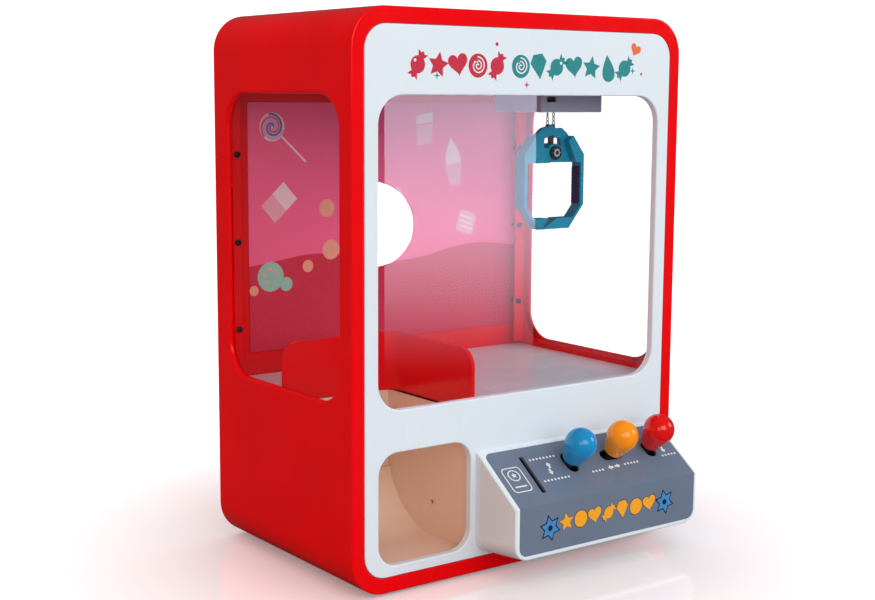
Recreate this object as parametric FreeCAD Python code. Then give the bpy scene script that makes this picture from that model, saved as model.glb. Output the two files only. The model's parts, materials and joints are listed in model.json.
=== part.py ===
import FreeCAD, Part
import math
import os

# Table-top claw crane machine. Millimetres, +Z up, +X to the player's right, -Y towards the player.
# Origin: middle of the box around the whole machine, on the surface it stands on.

# ---- driving dimensions ----
WIDTH = 270.0            # cabinet, side to side
HEIGHT = 360.0           # cabinet, without feet
BODY_DEPTH = 170.0       # cabinet, front ring to back
PLATE_SLOPE = math.radians(36.0)         # console faceplate, from level
PLATE_LEN = 46.5         # its sloped part, top edge to bend
PLATE_SET = 3.0          # its top edge, in front of the panel
CONSOLE_PROUD = 0.2      # how far the console's rim stands over the faceplate
CONSOLE_DEPTH = PLATE_SET + PLATE_LEN * math.cos(PLATE_SLOPE) + CONSOLE_PROUD   # how far it stands out
CORNER_R = 24.0          # outer corners of the cabinet
WALL = 3.0               # cabinet wall
FOOT = 1.5               # how far the rubber feet stand out of the underside
FIT = 0.4                # gap between pieces that move past each other
EDGE = 1.2               # small rounding of moulded edges

FRONT = CONSOLE_DEPTH - (BODY_DEPTH + CONSOLE_DEPTH) / 2      # plane of the front panel
BACK = FRONT + BODY_DEPTH
INNER_X = WIDTH / 2 - WALL
BASE = FOOT
TOP = BASE + HEIGHT

# front ring, front panel and its openings
RING_SIDE = 9.1
RING_END = 10.0
PANEL_R = 16.0
PANEL_T = 3.0
FLANGE_T = 2.0
PANE_T = 1.6
WINDOW_X = 115.6         # half width of the front window
WINDOW_LOW = BASE + 115.5
WINDOW_HIGH = BASE + 307.8
WINDOW_R = 18.0
SIDE_WINDOW_Y = (FRONT + 15.0, FRONT + 153.0)
SIDE_WINDOW_Z = (BASE + 119.5, BASE + 308.0)
SIDE_WINDOW_R = 22.0
PRIZE_X = (-115.3, -43.8)
PRIZE_Z = (BASE + 17.0, BASE + 89.0)
PRIZE_R = 14.0

# console
CONSOLE_X = (-40.0, 121.0)
CONSOLE_R = 11.0
CONSOLE_WALL = 2.6
PLATE_X = (-36.3, 118.7)
PLATE_T = 1.8
SLOPE = PLATE_SLOPE
SLOPE_TOP = (-PLATE_SET, BASE + 78.7)     # distance from the front plane and height of the plate's top edge
SLOPE_LEN = PLATE_LEN
PLATE_LOW = BASE + 20.0
CONSOLE_LOW = BASE + 13.0
PIVOT_DEPTH = 14.0       # lever pivots, below the plate
LEVER_S = 18.2           # lever centres, down the slope from the plate's top edge
LEVER_X = {"blue": 24.7, "yellow": 62.0, "red": 96.0}
LEVER_R = 3.0
AXLE_R = 1.25
RUNNING = 0.06           # radial clearance of shafts and pins

# cabin
FLOOR_Z = BASE + 112.0   # top of the playfield
FLOOR_T = 3.0
HOLE_X = (-127.0, -37.7)
HOLE_Y = (FRONT + 8.0, FRONT + 98.3)
GUARD_T = 2.5
GUARD_TOP = BASE + 146.0
DOOR_X = (-114.0, 131.6)
DOOR_Z = (BASE + 126.0, BASE + 304.0)
REAR_T = 3.0

# gantry
RAIL_SHELF_Z = BASE + 314.0
RACK_PITCH_Z = BASE + 323.0
MODULE = 1.0
PINION_TEETH = 14
PINION_R = MODULE * PINION_TEETH / 2
TRAVEL_Y = FRONT + 66.0          # middle of the bridge at rest
ROD_Z = BASE + 314.5
ROD_R = 3.0
ROD_SPREAD = 18.0                # rods, either side of the bridge's middle
CARRIAGE_X = (106.0, 125.0)
TROLLEY_X = (45.0, 101.0)
TROLLEY_DEPTH = 52.0
TROLLEY_Z = (BASE + 296.4, BASE + 327.0)
TROLLEY_WALL = 2.0
BRIDGE_RACK_Y = TRAVEL_Y + 30.5
BRIDGE_RACK_PITCH_Z = BASE + 317.0

# claw
CLAW_X = 76.0
HUB_Z = BASE + 268.0
DRUM_R = 6.0
DRUM_Z = BASE + 312.0
CLAW_HALF_DEPTH = 4.8


def box(x, y, z):
    """Block between two x, two y and two z values."""
    return Part.makeBox(x[1] - x[0], y[1] - y[0], z[1] - z[0], FreeCAD.Vector(x[0], y[0], z[0]))


def rod(start, direction, radius, length):
    """Cylinder from a start point along a direction."""
    return Part.makeCylinder(radius, length, FreeCAD.Vector(*start), FreeCAD.Vector(*direction))


def ring(start, direction, outer, inner, length):
    """Tube from a start point along a direction."""
    return rod(start, direction, outer, length).cut(rod(start, direction, inner, length))


def loft_plate(low, high, radius, place):
    """Face of a rectangle with round corners; place turns its two coordinates into a point."""
    (a0, b0), (a1, b1) = low, high
    half = radius * (1 - math.sqrt(0.5))
    spots = [
        ((a0 + radius, b0), (a1 - radius, b0), (a1 - half, b0 + half)),
        ((a1, b0 + radius), (a1, b1 - radius), (a1 - half, b1 - half)),
        ((a1 - radius, b1), (a0 + radius, b1), (a0 + half, b1 - half)),
        ((a0, b1 - radius), (a0, b0 + radius), (a0 + half, b0 + half)),
    ]
    edges = []
    for index, (start, end, middle) in enumerate(spots):
        following = spots[(index + 1) % len(spots)][0]
        edges.append(Part.LineSegment(place(start), place(end)).toShape())
        edges.append(Part.Arc(place(end), place(middle), place(following)).toShape())
    return Part.Face(Part.Wire(edges))


def slab_xz(x, z, radius, y):
    """Rounded rectangle in x and z, thick in y."""
    face = loft_plate((x[0], z[0]), (x[1], z[1]), radius, lambda p: FreeCAD.Vector(p[0], y[0], p[1]))
    return face.extrude(FreeCAD.Vector(0, y[1] - y[0], 0))


def slab_yz(y, z, radius, x):
    """Rounded rectangle in y and z, thick in x."""
    face = loft_plate((y[0], z[0]), (y[1], z[1]), radius, lambda p: FreeCAD.Vector(x[0], p[0], p[1]))
    return face.extrude(FreeCAD.Vector(x[1] - x[0], 0, 0))


def slab_xy(x, y, radius, z):
    """Rounded rectangle in x and y, thick in z."""
    face = loft_plate((x[0], y[0]), (x[1], y[1]), radius, lambda p: FreeCAD.Vector(p[0], p[1], z[0]))
    return face.extrude(FreeCAD.Vector(0, 0, z[1] - z[0]))


def outline(points):
    """Face of a polygon given as vectors."""
    return Part.Face(Part.makePolygon([FreeCAD.Vector(*p) for p in points] + [FreeCAD.Vector(*points[0])]))


def profile_x(points, x):
    """Polygon of (y, z) points, thick in x."""
    return outline([(x[0], y, z) for y, z in points]).extrude(FreeCAD.Vector(x[1] - x[0], 0, 0))


def profile_y(points, y):
    """Polygon of (x, z) points, thick in y."""
    return outline([(x, y[0], z) for x, z in points]).extrude(FreeCAD.Vector(0, y[1] - y[0], 0))


def fuse(shapes):
    """Join several solids into one."""
    joined = shapes[0]
    for shape in shapes[1:]:
        joined = joined.fuse(shape)
    return joined.removeSplitter()


def cut(shape, tools):
    """Take several solids away from one."""
    for tool in tools:
        shape = shape.cut(tool)
    return shape.removeSplitter()


def round_edges(shape, radius, chosen):
    """Round the edges for which chosen(edge) is true."""
    edges = [edge for edge in shape.Edges if chosen(edge)]
    return shape.makeFillet(radius, edges)


def lies_on(axis, value):
    """Test for edges that lie wholly in the plane axis = value."""
    def test(edge):
        limits = edge.BoundBox
        low = getattr(limits, axis + "Min")
        high = getattr(limits, axis + "Max")
        return abs(low - value) < 1e-3 and abs(high - value) < 1e-3
    return test


def mirror_x(shape):
    """Copy on the other side of the middle plane x = 0."""
    return shape.mirror(FreeCAD.Vector(0, 0, 0), FreeCAD.Vector(1, 0, 0))


def grow(pair, amount):
    """Move two limits apart by an amount at each end."""
    return (pair[0] - amount, pair[1] + amount)


def save(name, shape):
    """Write one sub-part."""
    solids = shape.Solids
    result = solids[0] if len(solids) == 1 else Part.makeCompound(solids)
    if not result.isValid():
        print("not valid:", name)
    result.exportStep("parts/" + name + ".step")
    print(name, len(solids), round(sum(solid.Volume for solid in solids)))


# ---- cabinet shell ----
PANEL_X = (-WIDTH / 2 + RING_SIDE, WIDTH / 2 - RING_SIDE)
PANEL_Z = (BASE + RING_END, TOP - RING_END)
PANEL_GAP = 0.3
PANEL_BACK = FRONT + PANEL_T
FLANGE_BACK = PANEL_BACK + FLANGE_T
PANE_BACK = FLANGE_BACK + PANE_T
REAR_FRONT = BACK - REAR_T
BOSSES = [(x, z) for x in (-121.0, 121.0) for z in (BASE + 16.0, TOP - 16.0)]
STRIP_SCREW_Z = (BASE + 147.0, BASE + 207.0, BASE + 267.0)
STRIP_X = (121.5, 130.2)
STRIP_FRONT = FRONT + 158.0
STRIP_Z = (BASE + 115.0, BASE + 309.0)
BATTERY_X = (7.5, 112.5)
BATTERY_Z = (BASE + 8.0, BASE + 50.0)
DRAWER_X = (-38.0, 2.0)
DRAWER_Z = (BASE + 8.0, BASE + 34.0)
SPEAKER_AT = (78.0, BASE + 84.0)
SPEAKER_R = 20.0
SWITCH_AT = (-12.0, BASE + 84.0)
STOP_T = 1.0             # door stop behind the rear panel
STOP_LAP = 1.2           # how far it reaches behind the loading door
STOP_GAP = 0.1
STOP_WIDTH = 4.5


def main_housing():
    """Red tube with round corners; its front is turned in to a flat ring round the panel."""
    outer = slab_xz((-WIDTH / 2, WIDTH / 2), (BASE, TOP), CORNER_R, (FRONT, BACK))
    outer = round_edges(outer, EDGE, lies_on("Y", FRONT))
    outer = round_edges(outer, 0.8, lies_on("Y", BACK))
    hollow = slab_xz((-INNER_X, INNER_X), (BASE + WALL, TOP - WALL), CORNER_R - WALL, (PANEL_BACK, BACK))
    mouth = slab_xz(PANEL_X, PANEL_Z, PANEL_R, (FRONT - 1, PANEL_BACK))
    shell = cut(outer, [hollow, mouth])
    shell = round_edges(shell, 0.6, lambda edge: lies_on("Y", FRONT)(edge) and edge.BoundBox.XMax < PANEL_X[1] + 1
                        and edge.BoundBox.XMin > PANEL_X[0] - 1)
    for side in (-1, 1):
        span = sorted((side * (INNER_X - 1), side * (WIDTH / 2 + 1)))
        shell = shell.cut(slab_yz(SIDE_WINDOW_Y, SIDE_WINDOW_Z, SIDE_WINDOW_R, span))
        def on_lip(edge):
            limits = edge.BoundBox
            inside = limits.YMin > SIDE_WINDOW_Y[0] - 1 and limits.YMax < SIDE_WINDOW_Y[1] + 1
            return lies_on("X", side * WIDTH / 2)(edge) and inside
        shell = round_edges(shell, 2.4, on_lip)
    bosses = []
    for x, z in BOSSES:
        boss = rod((x, BACK - 15, z), (0, 1, 0), 4.5, 12)
        gusset = box(sorted((x, math.copysign(INNER_X + 0.5, x))), (BACK - 15, REAR_FRONT), (z - 1.5, z + 1.5))
        bosses.append(boss.fuse(gusset))
    shell = fuse([shell] + bosses)
    pilots = [rod((x, BACK - 14, z), (0, 1, 0), 1.3, 12) for x, z in BOSSES]
    return cut(shell, pilots)


def front_panel():
    """White moulding inside the ring, with a wider flange behind the ring."""
    plate = slab_xz(grow(PANEL_X, -PANEL_GAP), grow(PANEL_Z, -PANEL_GAP), PANEL_R - PANEL_GAP, (FRONT, PANEL_BACK))
    plate = round_edges(plate, 0.8, lies_on("Y", FRONT))
    flange = slab_xz(grow(PANEL_X, 4.0), grow(PANEL_Z, 4.0), PANEL_R + 3, (PANEL_BACK, FLANGE_BACK))
    panel = plate.fuse(flange)
    through = (FRONT - 1, FLANGE_BACK + 1)
    panel = panel.cut(slab_xz((-WINDOW_X, WINDOW_X), (WINDOW_LOW, WINDOW_HIGH), WINDOW_R, through))
    panel = panel.cut(slab_xz(PRIZE_X, PRIZE_Z, PRIZE_R, through))
    def on_opening(edge):
        limits = edge.BoundBox
        in_window = limits.ZMin > WINDOW_LOW - 1 and limits.ZMax < WINDOW_HIGH + 1 and limits.XMax < WINDOW_X + 1
        in_prize = limits.ZMax < PRIZE_Z[1] + 1 and limits.XMax < PRIZE_X[1] + 1 and limits.XMin > PRIZE_X[0] - 1
        return lies_on("Y", FRONT)(edge) and limits.XMin > -WINDOW_X - 1 and (in_window or in_prize)
    panel = round_edges(panel, 1.0, on_opening)
    behind_console = slab_xz((CONSOLE_X[0] + 8, CONSOLE_X[1] - 8), (BASE + 24.0, BASE + 70.0), 4, through)
    return panel.cut(behind_console).removeSplitter()


def front_window():
    """Clear sheet behind the front opening."""
    return slab_xz((-WINDOW_X - 4, WINDOW_X + 4), (WINDOW_LOW - 2.5, WINDOW_HIGH + 4), WINDOW_R, (FLANGE_BACK, PANE_BACK))


def side_window():
    """Clear sheet inside the right-hand wall; the left one is its mirror image."""
    return slab_yz((PANE_BACK + 0.4, SIDE_WINDOW_Y[1] + 4), grow(SIDE_WINDOW_Z, 3.5), SIDE_WINDOW_R,
                   (INNER_X - PANE_T, INNER_X))


def window_strip():
    """Angle strip that holds the rear edge of a side window, with three screw holes."""
    face = box(STRIP_X, (STRIP_FRONT, STRIP_FRONT + 2), STRIP_Z)
    leg = box((STRIP_X[1] - 2, INNER_X), (STRIP_FRONT + 2, REAR_FRONT - 1.5), STRIP_Z)
    step = box((STRIP_X[1] - 2, STRIP_X[1] + 1), (STRIP_FRONT - 1, STRIP_FRONT + 1), (STRIP_Z[0] - 1, BASE + 245.0))
    strip = fuse([face, leg]).cut(step)
    holes = [rod((STRIP_X[0] + 3, STRIP_FRONT - 1, z), (0, 1, 0), 1.3, 4) for z in STRIP_SCREW_Z]
    return cut(strip, holes)


def pan_screw(at, direction, head_r, thread_r, length):
    """Pan-head screw; at is the middle of the head's underside, direction points out of the head."""
    axis = FreeCAD.Vector(*direction)
    start = FreeCAD.Vector(*at)
    head = Part.makeCylinder(head_r, 1.6, start, axis)
    head = round_edges(head, 0.7, lambda edge: abs((edge.BoundBox.Center - start).dot(axis) - 1.6) < 1e-3)
    shank = Part.makeCylinder(thread_r, length, start - axis * length, axis)
    screw = head.fuse(shank)
    turn = FreeCAD.Rotation(FreeCAD.Vector(0, 0, 1), axis)
    for angle in (0, 90):
        slot = Part.makeBox(head_r * 1.1, 0.7, 1.2, FreeCAD.Vector(-head_r * 0.55, -0.35, 0))
        slot.rotate(FreeCAD.Vector(0, 0, 0), FreeCAD.Vector(0, 0, 1), angle)
        slot.Placement = FreeCAD.Placement(start + axis * 0.9, turn).multiply(slot.Placement)
        screw = screw.cut(slot)
    return screw


def cabinet_screws():
    """Screws of the rear panel, the window strips and the battery door."""
    screws = [pan_screw((x, BACK - 1.2, z), (0, 1, 0), 3.0, 1.3, 12) for x, z in BOSSES]
    for side in (-1, 1):
        for z in STRIP_SCREW_Z:
            screws.append(pan_screw((side * (STRIP_X[0] + 3), STRIP_FRONT, z), (0, -1, 0), 2.2, 1.3, 7.5))
    battery_screw_x = (BATTERY_X[0] + BATTERY_X[1]) / 2
    screws.append(pan_screw((battery_screw_x, BACK - 1.2, BATTERY_Z[1] - 4), (0, 1, 0), 2.4, 1.3, 6))
    return Part.makeCompound(screws)


def door_stop():
    """Thin frame behind three edges of the door opening; the closed door rests near it, and it blocks light."""
    x = (DOOR_X[0] - 1.5, INNER_X - 1.1)
    outer = box((x[0] - 1.5, x[1]), (REAR_FRONT - STOP_T, REAR_FRONT), grow(DOOR_Z, STOP_WIDTH - STOP_LAP))
    middle = box((DOOR_X[0] + STOP_LAP, x[1] + 1), (REAR_FRONT - STOP_T - 1, REAR_FRONT + 1), grow(DOOR_Z, -1.6))
    pocket = box((DOOR_X[0], x[1] + 1), (REAR_FRONT - STOP_GAP, REAR_FRONT + 1), DOOR_Z)
    return cut(outer, [middle, pocket])


def rear_panel():
    """Back wall with openings for the loading door, the coin drawer, the batteries and the switch."""
    panel = slab_xz(grow((-INNER_X, INNER_X), -0.3), (BASE + WALL + 0.3, TOP - WALL - 0.3), CORNER_R - WALL - 0.3,
                    (REAR_FRONT, BACK))
    through = (REAR_FRONT - 1, BACK + 1)
    tools = [
        box((DOOR_X[0], INNER_X + 1), through, DOOR_Z),
        slab_xz(DRAWER_X, DRAWER_Z, 0.5, through),
        box(BATTERY_X, through, BATTERY_Z),
        slab_xz(grow(BATTERY_X, 2), grow(BATTERY_Z, 2), 3, (BACK - 1.6, BACK + 1)),
        box((SWITCH_AT[0] - 5, SWITCH_AT[0] + 5), through, (SWITCH_AT[1] - 2.4, SWITCH_AT[1] + 2.4)),
    ]
    for row in range(-3, 4):
        half = math.sqrt(17.0 ** 2 - (row * 5.0) ** 2)
        z = SPEAKER_AT[1] + row * 5.0
        tools.append(slab_xz((SPEAKER_AT[0] - half, SPEAKER_AT[0] + half), (z - 0.9, z + 0.9), 0.85, through))
    for x, z in BOSSES:
        tools.append(rod((x, REAR_FRONT - 1, z), (0, 1, 0), 1.6, 6))
        tools.append(rod((x, BACK - 1.2, z), (0, 1, 0), 3.3, 2))
    for side in (-1, 1):
        for z in STRIP_SCREW_Z:
            tools.append(rod((side * (STRIP_X[0] + 3), REAR_FRONT - 1, z), (0, 1, 0), 1.6, 3))
    for end in (0, 1):
        sign = 2 * end - 1
        spot = DOOR_Z[end] - sign
        tools.append(rod((DOOR_X[0] + 2.0, BACK - REAR_T / 2, spot), (0, 0, sign), 0.9 + RUNNING, 4.5))
    return fuse([cut(panel, tools), door_stop()])


def rear_door():
    """Loading door in the back, with a rounded hinge edge, two moulded trunnions and a finger scoop."""
    hinge = (DOOR_X[0] + 2.0, BACK - REAR_T / 2)
    z = grow(DOOR_Z, -FIT)
    leaf = box((hinge[0], DOOR_X[1] - 0.3), (REAR_FRONT, BACK), z)
    edge = rod((hinge[0], hinge[1], z[0]), (0, 0, 1), REAR_T / 2, z[1] - z[0])
    pins = rod((hinge[0], hinge[1], z[0] - 3.5), (0, 0, 1), 0.9, z[1] - z[0] + 7.0)
    scoop = rod((DOOR_X[1] + 3, BACK + 5, (z[0] + z[1]) / 2 - 18), (0, 0, 1), 11, 36)
    rib = slab_xz((hinge[0] + 14, DOOR_X[1] - 18), grow(z, -14), 8, (BACK - 0.9, BACK + 1))
    rib = rib.cut(slab_xz((hinge[0] + 16, DOOR_X[1] - 20), grow(z, -16), 7, (BACK - 1.5, BACK + 1)))
    return cut(fuse([leaf, edge, pins]), [scoop, rib])


def backdrop_card():
    """Printed card on the inside of the loading door."""
    return slab_xz((DOOR_X[0] + 2.5, DOOR_X[1] - 1.2), grow(DOOR_Z, -2.0), 2, (REAR_FRONT - 0.8, REAR_FRONT))


def playfield_floor():
    """White shelf that the sweets lie on, with the drop hole in its front left corner."""
    plate = box((-INNER_X + 0.2, INNER_X - 0.2), (PANE_BACK + 0.2, REAR_FRONT - 1.2), (FLOOR_Z - FLOOR_T, FLOOR_Z))
    drop = slab_xy(HOLE_X, HOLE_Y, 10, (FLOOR_Z - FLOOR_T - 1, FLOOR_Z + 1))
    return plate.cut(drop)


def chute_guard():
    """Red wall that bends round the drop hole; the top corner at each end is rounded."""
    low = (-125.0, PANE_BACK + 0.5)
    high = (HOLE_X[1] + 1.7, HOLE_Y[1] + 1.7)
    bend = 15.0
    z = (FLOOR_Z, GUARD_TOP)
    outer = slab_xy((low[0] - 60, high[0]), (low[1] - 60, high[1]), bend, z)
    inner = slab_xy((low[0] - 60, high[0] - GUARD_T), (low[1] - 60, high[1] - GUARD_T), bend - GUARD_T, z)
    wall = outer.cut(inner).common(box((low[0], high[0] + 1), (low[1], high[1] + 1), z))
    end_r = 12.0
    def corner(edge):
        limits = edge.BoundBox
        at_top = abs(limits.ZMin - GUARD_TOP) < 1e-3
        short = edge.Length < GUARD_T + 0.1
        return at_top and short
    wall = round_edges(wall, end_r, corner)
    foot = slab_xy((low[0], high[0]), (low[1], high[1]), bend, (FLOOR_Z - 6.0, FLOOR_Z))
    foot = foot.cut(slab_xy((low[0] + 1.5, high[0] - GUARD_T), (low[1] + 1.5, high[1] - GUARD_T), bend - GUARD_T,
                            (FLOOR_Z - 7.0, FLOOR_Z + 1)))
    foot = foot.common(slab_xy(grow(HOLE_X, -0.3), grow(HOLE_Y, -0.3), 9.7, (FLOOR_Z - 7.0, FLOOR_Z + 1)))
    return fuse([wall, foot])


BIN_X = (-124.0, -42.2)
BIN_Y = (FLANGE_BACK, FRONT + 96.5)
BIN_Z = (BASE + 15.0, FLOOR_Z - 6.4)
BIN_T = 1.8


def prize_bin():
    """Beige drop shaft below the hole: a curved slide at the bottom, open to the prize opening."""
    inside = box(BIN_X, (BIN_Y[0] - 1, BIN_Y[1]), (BIN_Z[0], BIN_Z[1] + 1))
    outer = box(grow(BIN_X, BIN_T), (BIN_Y[0], BIN_Y[1] + BIN_T), (BIN_Z[0] - BIN_T, BIN_Z[1]))
    shaft = outer.cut(inside)
    slide_r = 52.0
    block = box(BIN_X, (BIN_Y[1] - slide_r, BIN_Y[1]), (BIN_Z[0], BIN_Z[0] + slide_r * 0.7))
    scoop = rod((BIN_X[0] - 1, BIN_Y[1] - slide_r, BIN_Z[0] + slide_r), (1, 0, 0), slide_r, BIN_X[1] - BIN_X[0] + 2)
    slide = block.cut(scoop)
    shaft = fuse([shaft, slide])
    hole = rod((BIN_X[1] - 1, FRONT + 44.8, BASE + 37.3), (1, 0, 0), 1.6, BIN_T + 2)
    return shaft.cut(hole)


# ---- console ----
DOWN = FreeCAD.Vector(0, -math.cos(SLOPE), -math.sin(SLOPE))
NORMAL = FreeCAD.Vector(0, -math.sin(SLOPE), math.cos(SLOPE))
PLATE_START = FreeCAD.Vector(0, FRONT + SLOPE_TOP[0], SLOPE_TOP[1])
BEND = PLATE_START + DOWN * SLOPE_LEN


def on_slope(x, down, above):
    """Point over the console's slope: x, distance down from the plate's top edge, height above it."""
    return FreeCAD.Vector(x, 0, 0) + PLATE_START + DOWN * down + NORMAL * above


def slope_cutter(x, down, radius, above):
    """Upright slot through the slope: rounded rectangle in x and down, thick along the normal."""
    place = lambda p: on_slope(p[0], p[1], above[0])
    face = loft_plate((x[0], down[0]), (x[1], down[1]), radius, place)
    return face.extrude(NORMAL * (above[1] - above[0]))


def console_profile(inset):
    """Side view of the console as (y, z) points, moved inwards by inset."""
    front = BEND.y - CONSOLE_PROUD + inset
    rise = math.tan(SLOPE)
    slope_at_bend = BEND.z + (CONSOLE_PROUD - inset) / math.cos(SLOPE)
    return [
        (FRONT, CONSOLE_LOW + inset),
        (FRONT, slope_at_bend + (FRONT - BEND.y) * rise),
        (front, slope_at_bend + (front - BEND.y) * rise),
        (front, CONSOLE_LOW + 4.0 + inset),
    ]


def console_block(inset):
    """Solid console with its two lower corners rounded, moved inwards by inset."""
    block = profile_x(console_profile(inset), grow(CONSOLE_X, -inset))
    def lower_corner(edge):
        limits = edge.BoundBox
        return limits.XLength < 1e-3 and limits.YLength > 20 and limits.ZMax < CONSOLE_LOW + 12
    return round_edges(block, CONSOLE_R - inset, lower_corner)


def console_housing():
    """White console shell, open at the back and under the faceplate."""
    body = console_block(0)
    front = BEND.y - CONSOLE_PROUD
    def outer_corner(edge):
        limits = edge.BoundBox
        on_side = limits.XLength < 1e-3 and limits.ZMin > PLATE_LOW
        along_front = lies_on("Y", front)(edge) and limits.ZMax < BASE + 40
        return (on_side or along_front) and limits.YMin < FRONT - 1
    body = round_edges(body, EDGE, outer_corner)
    shell = body.cut(console_block(CONSOLE_WALL))
    slope_window = slope_cutter(grow(PLATE_X, -3), (3, SLOPE_LEN + 10), 3, (-20, 6))
    slope_window = slope_window.common(box((-200, 200), (BEND.y - 2, 200), (0, 200)))
    seat = faceplate_body(0.25, 8.0)
    front_window_cut = slab_xz(grow(PLATE_X, -3), (PLATE_LOW + 3, BASE + 130.0), 6, (BEND.y - 6, BEND.y + 6))
    return cut(shell, [slope_window, seat, front_window_cut])


def faceplate_body(margin, extra):
    """Bent plate: slope and front as one sheet, grown by margin and by extra on its outer face."""
    slope = slope_cutter(grow(PLATE_X, margin), (-margin, SLOPE_LEN + 30), 5.5, (-PLATE_T - margin, extra))
    slope = slope.common(box((-200, 200), (BEND.y - extra, 200), (0, 200)))
    front = slab_xz(grow(PLATE_X, margin), (PLATE_LOW - margin, BEND.z + 60), 6.5,
                    (BEND.y - extra, BEND.y + PLATE_T + margin))
    under_slope = profile_x([
        (PLATE_START.y - DOWN.y * 40, PLATE_START.z - DOWN.z * 40),
        (BEND.y, BEND.z),
        (BEND.y - 12, BEND.z - 12 * math.tan(SLOPE)),
        (BEND.y - 12, 0),
        (100, 0),
        (100, PLATE_START.z),
    ], (-200, 200))
    if extra > 0:
        under_slope.translate(NORMAL * extra)
    front = front.common(under_slope)
    return fuse([slope, front])


def console_faceplate():
    """Slate plate over the console's slope and front, with the coin slot and the lever slots."""
    plate = faceplate_body(0, 0)
    half = LEVER_R + 1.6
    reach = 8.4
    slots = [
        slope_cutter((-12.0, -8.3), (6.7, 37.6), 0.4, (-9, 4)),
        slope_cutter((LEVER_X["blue"] - half, LEVER_X["blue"] + half), (LEVER_S - reach, LEVER_S + reach), 4.5, (-9, 4)),
        slope_cutter((LEVER_X["yellow"] - reach - 1, LEVER_X["yellow"] + reach + 1), (LEVER_S - half, LEVER_S + half), 4.5,
                     (-9, 4)),
        slope_cutter((LEVER_X["red"] - half, LEVER_X["red"] + half), (LEVER_S - 5, LEVER_S + reach), 4.5, (-9, 4)),
    ]
    return cut(plate, slots)


def turned(centre, direction, stations):
    """Solid of revolution; stations are (distance along, radius) joined by straight lines."""
    points = [FreeCAD.Vector(radius, 0, along) for along, radius in stations]
    closed = [FreeCAD.Vector(0, 0, stations[0][0])] + points + [FreeCAD.Vector(0, 0, stations[-1][0])]
    face = Part.Face(Part.makePolygon(closed + [closed[0]]))
    solid = face.revolve(FreeCAD.Vector(0, 0, 0), FreeCAD.Vector(0, 0, 1), 360)
    turn = FreeCAD.Rotation(FreeCAD.Vector(0, 0, 1), direction)
    solid.Placement = FreeCAD.Placement(centre, turn)
    return solid


KNOB_LOW = 2.8
KNOB_R = 10.7
KNOB_SMALL_R = 7.0
KNOB_CENTRE = 18.2


def knob(colour):
    """Bulb-shaped knob: a ball on top, tapering to a narrower foot, with a blind hole for the lever."""
    at = on_slope(LEVER_X[colour], LEVER_S, 0)
    tilt = math.asin((KNOB_R - KNOB_SMALL_R) / (KNOB_CENTRE - KNOB_LOW - 4))
    ball_edge = (KNOB_CENTRE - KNOB_R * math.sin(tilt), KNOB_R * math.cos(tilt))
    side = Part.LineSegment(FreeCAD.Vector(KNOB_SMALL_R, 0, KNOB_LOW + 2), FreeCAD.Vector(ball_edge[1], 0, ball_edge[0]))
    dome = Part.Arc(FreeCAD.Vector(ball_edge[1], 0, ball_edge[0]),
                    FreeCAD.Vector(KNOB_R * math.cos(0.6), 0, KNOB_CENTRE + KNOB_R * math.sin(0.6)),
                    FreeCAD.Vector(0, 0, KNOB_CENTRE + KNOB_R))
    foot = Part.Arc(FreeCAD.Vector(KNOB_SMALL_R - 2, 0, KNOB_LOW),
                    FreeCAD.Vector(KNOB_SMALL_R - 0.6, 0, KNOB_LOW + 0.6),
                    FreeCAD.Vector(KNOB_SMALL_R, 0, KNOB_LOW + 2))
    base = Part.LineSegment(FreeCAD.Vector(0, 0, KNOB_LOW), FreeCAD.Vector(KNOB_SMALL_R - 2, 0, KNOB_LOW))
    axis = Part.LineSegment(FreeCAD.Vector(0, 0, KNOB_CENTRE + KNOB_R), FreeCAD.Vector(0, 0, KNOB_LOW))
    wire = Part.Wire([piece.toShape() for piece in (base, foot, side, dome, axis)])
    body = Part.Face(wire).revolve(FreeCAD.Vector(0, 0, 0), FreeCAD.Vector(0, 0, 1), 360)
    body.Placement = FreeCAD.Placement(at, FreeCAD.Rotation(FreeCAD.Vector(0, 0, 1), NORMAL))
    hole = Part.makeCylinder(LEVER_R, 14 - KNOB_LOW, on_slope(LEVER_X[colour], LEVER_S, KNOB_LOW - 1), NORMAL)
    return body.cut(hole)


def axle_direction(colour):
    """The yellow lever tips sideways, the other two tip up and down the slope."""
    return DOWN if colour == "yellow" else FreeCAD.Vector(1, 0, 0)


def lever(colour):
    """Lever stem with a boss round its axle and a short finger below that works the switches."""
    pivot = on_slope(LEVER_X[colour], LEVER_S, -PIVOT_DEPTH)
    axis = axle_direction(colour)
    stem = Part.makeCylinder(LEVER_R, PIVOT_DEPTH + 12.6, pivot, NORMAL)
    boss = Part.makeCylinder(4.2, 7, pivot - axis * 3.5, axis)
    finger = Part.makeCylinder(1.5, 8.0, pivot - NORMAL * 8.0, NORMAL)
    bore = Part.makeCylinder(AXLE_R + RUNNING, 20, pivot - axis * 10, axis)
    return fuse([stem, boss, finger]).cut(bore)


def lever_axles():
    """Steel axle of each lever, held in the bracket."""
    axles = []
    for colour in LEVER_X:
        axis = axle_direction(colour)
        pivot = on_slope(LEVER_X[colour], LEVER_S, -PIVOT_DEPTH)
        axles.append(Part.makeCylinder(AXLE_R, 13.0, pivot - axis * 6.5, axis))
    return Part.makeCompound(axles)


def slope_block(x, down, above):
    """Block whose sides follow the slope."""
    corner = on_slope(x[0], down[0], above[0])
    block = Part.makeBox(x[1] - x[0], above[1] - above[0], down[1] - down[0])
    turn = FreeCAD.Rotation(FreeCAD.Vector(1, 0, 0), NORMAL, DOWN, "XYZ")
    block.Placement = FreeCAD.Placement(corner, turn)
    return block


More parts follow.
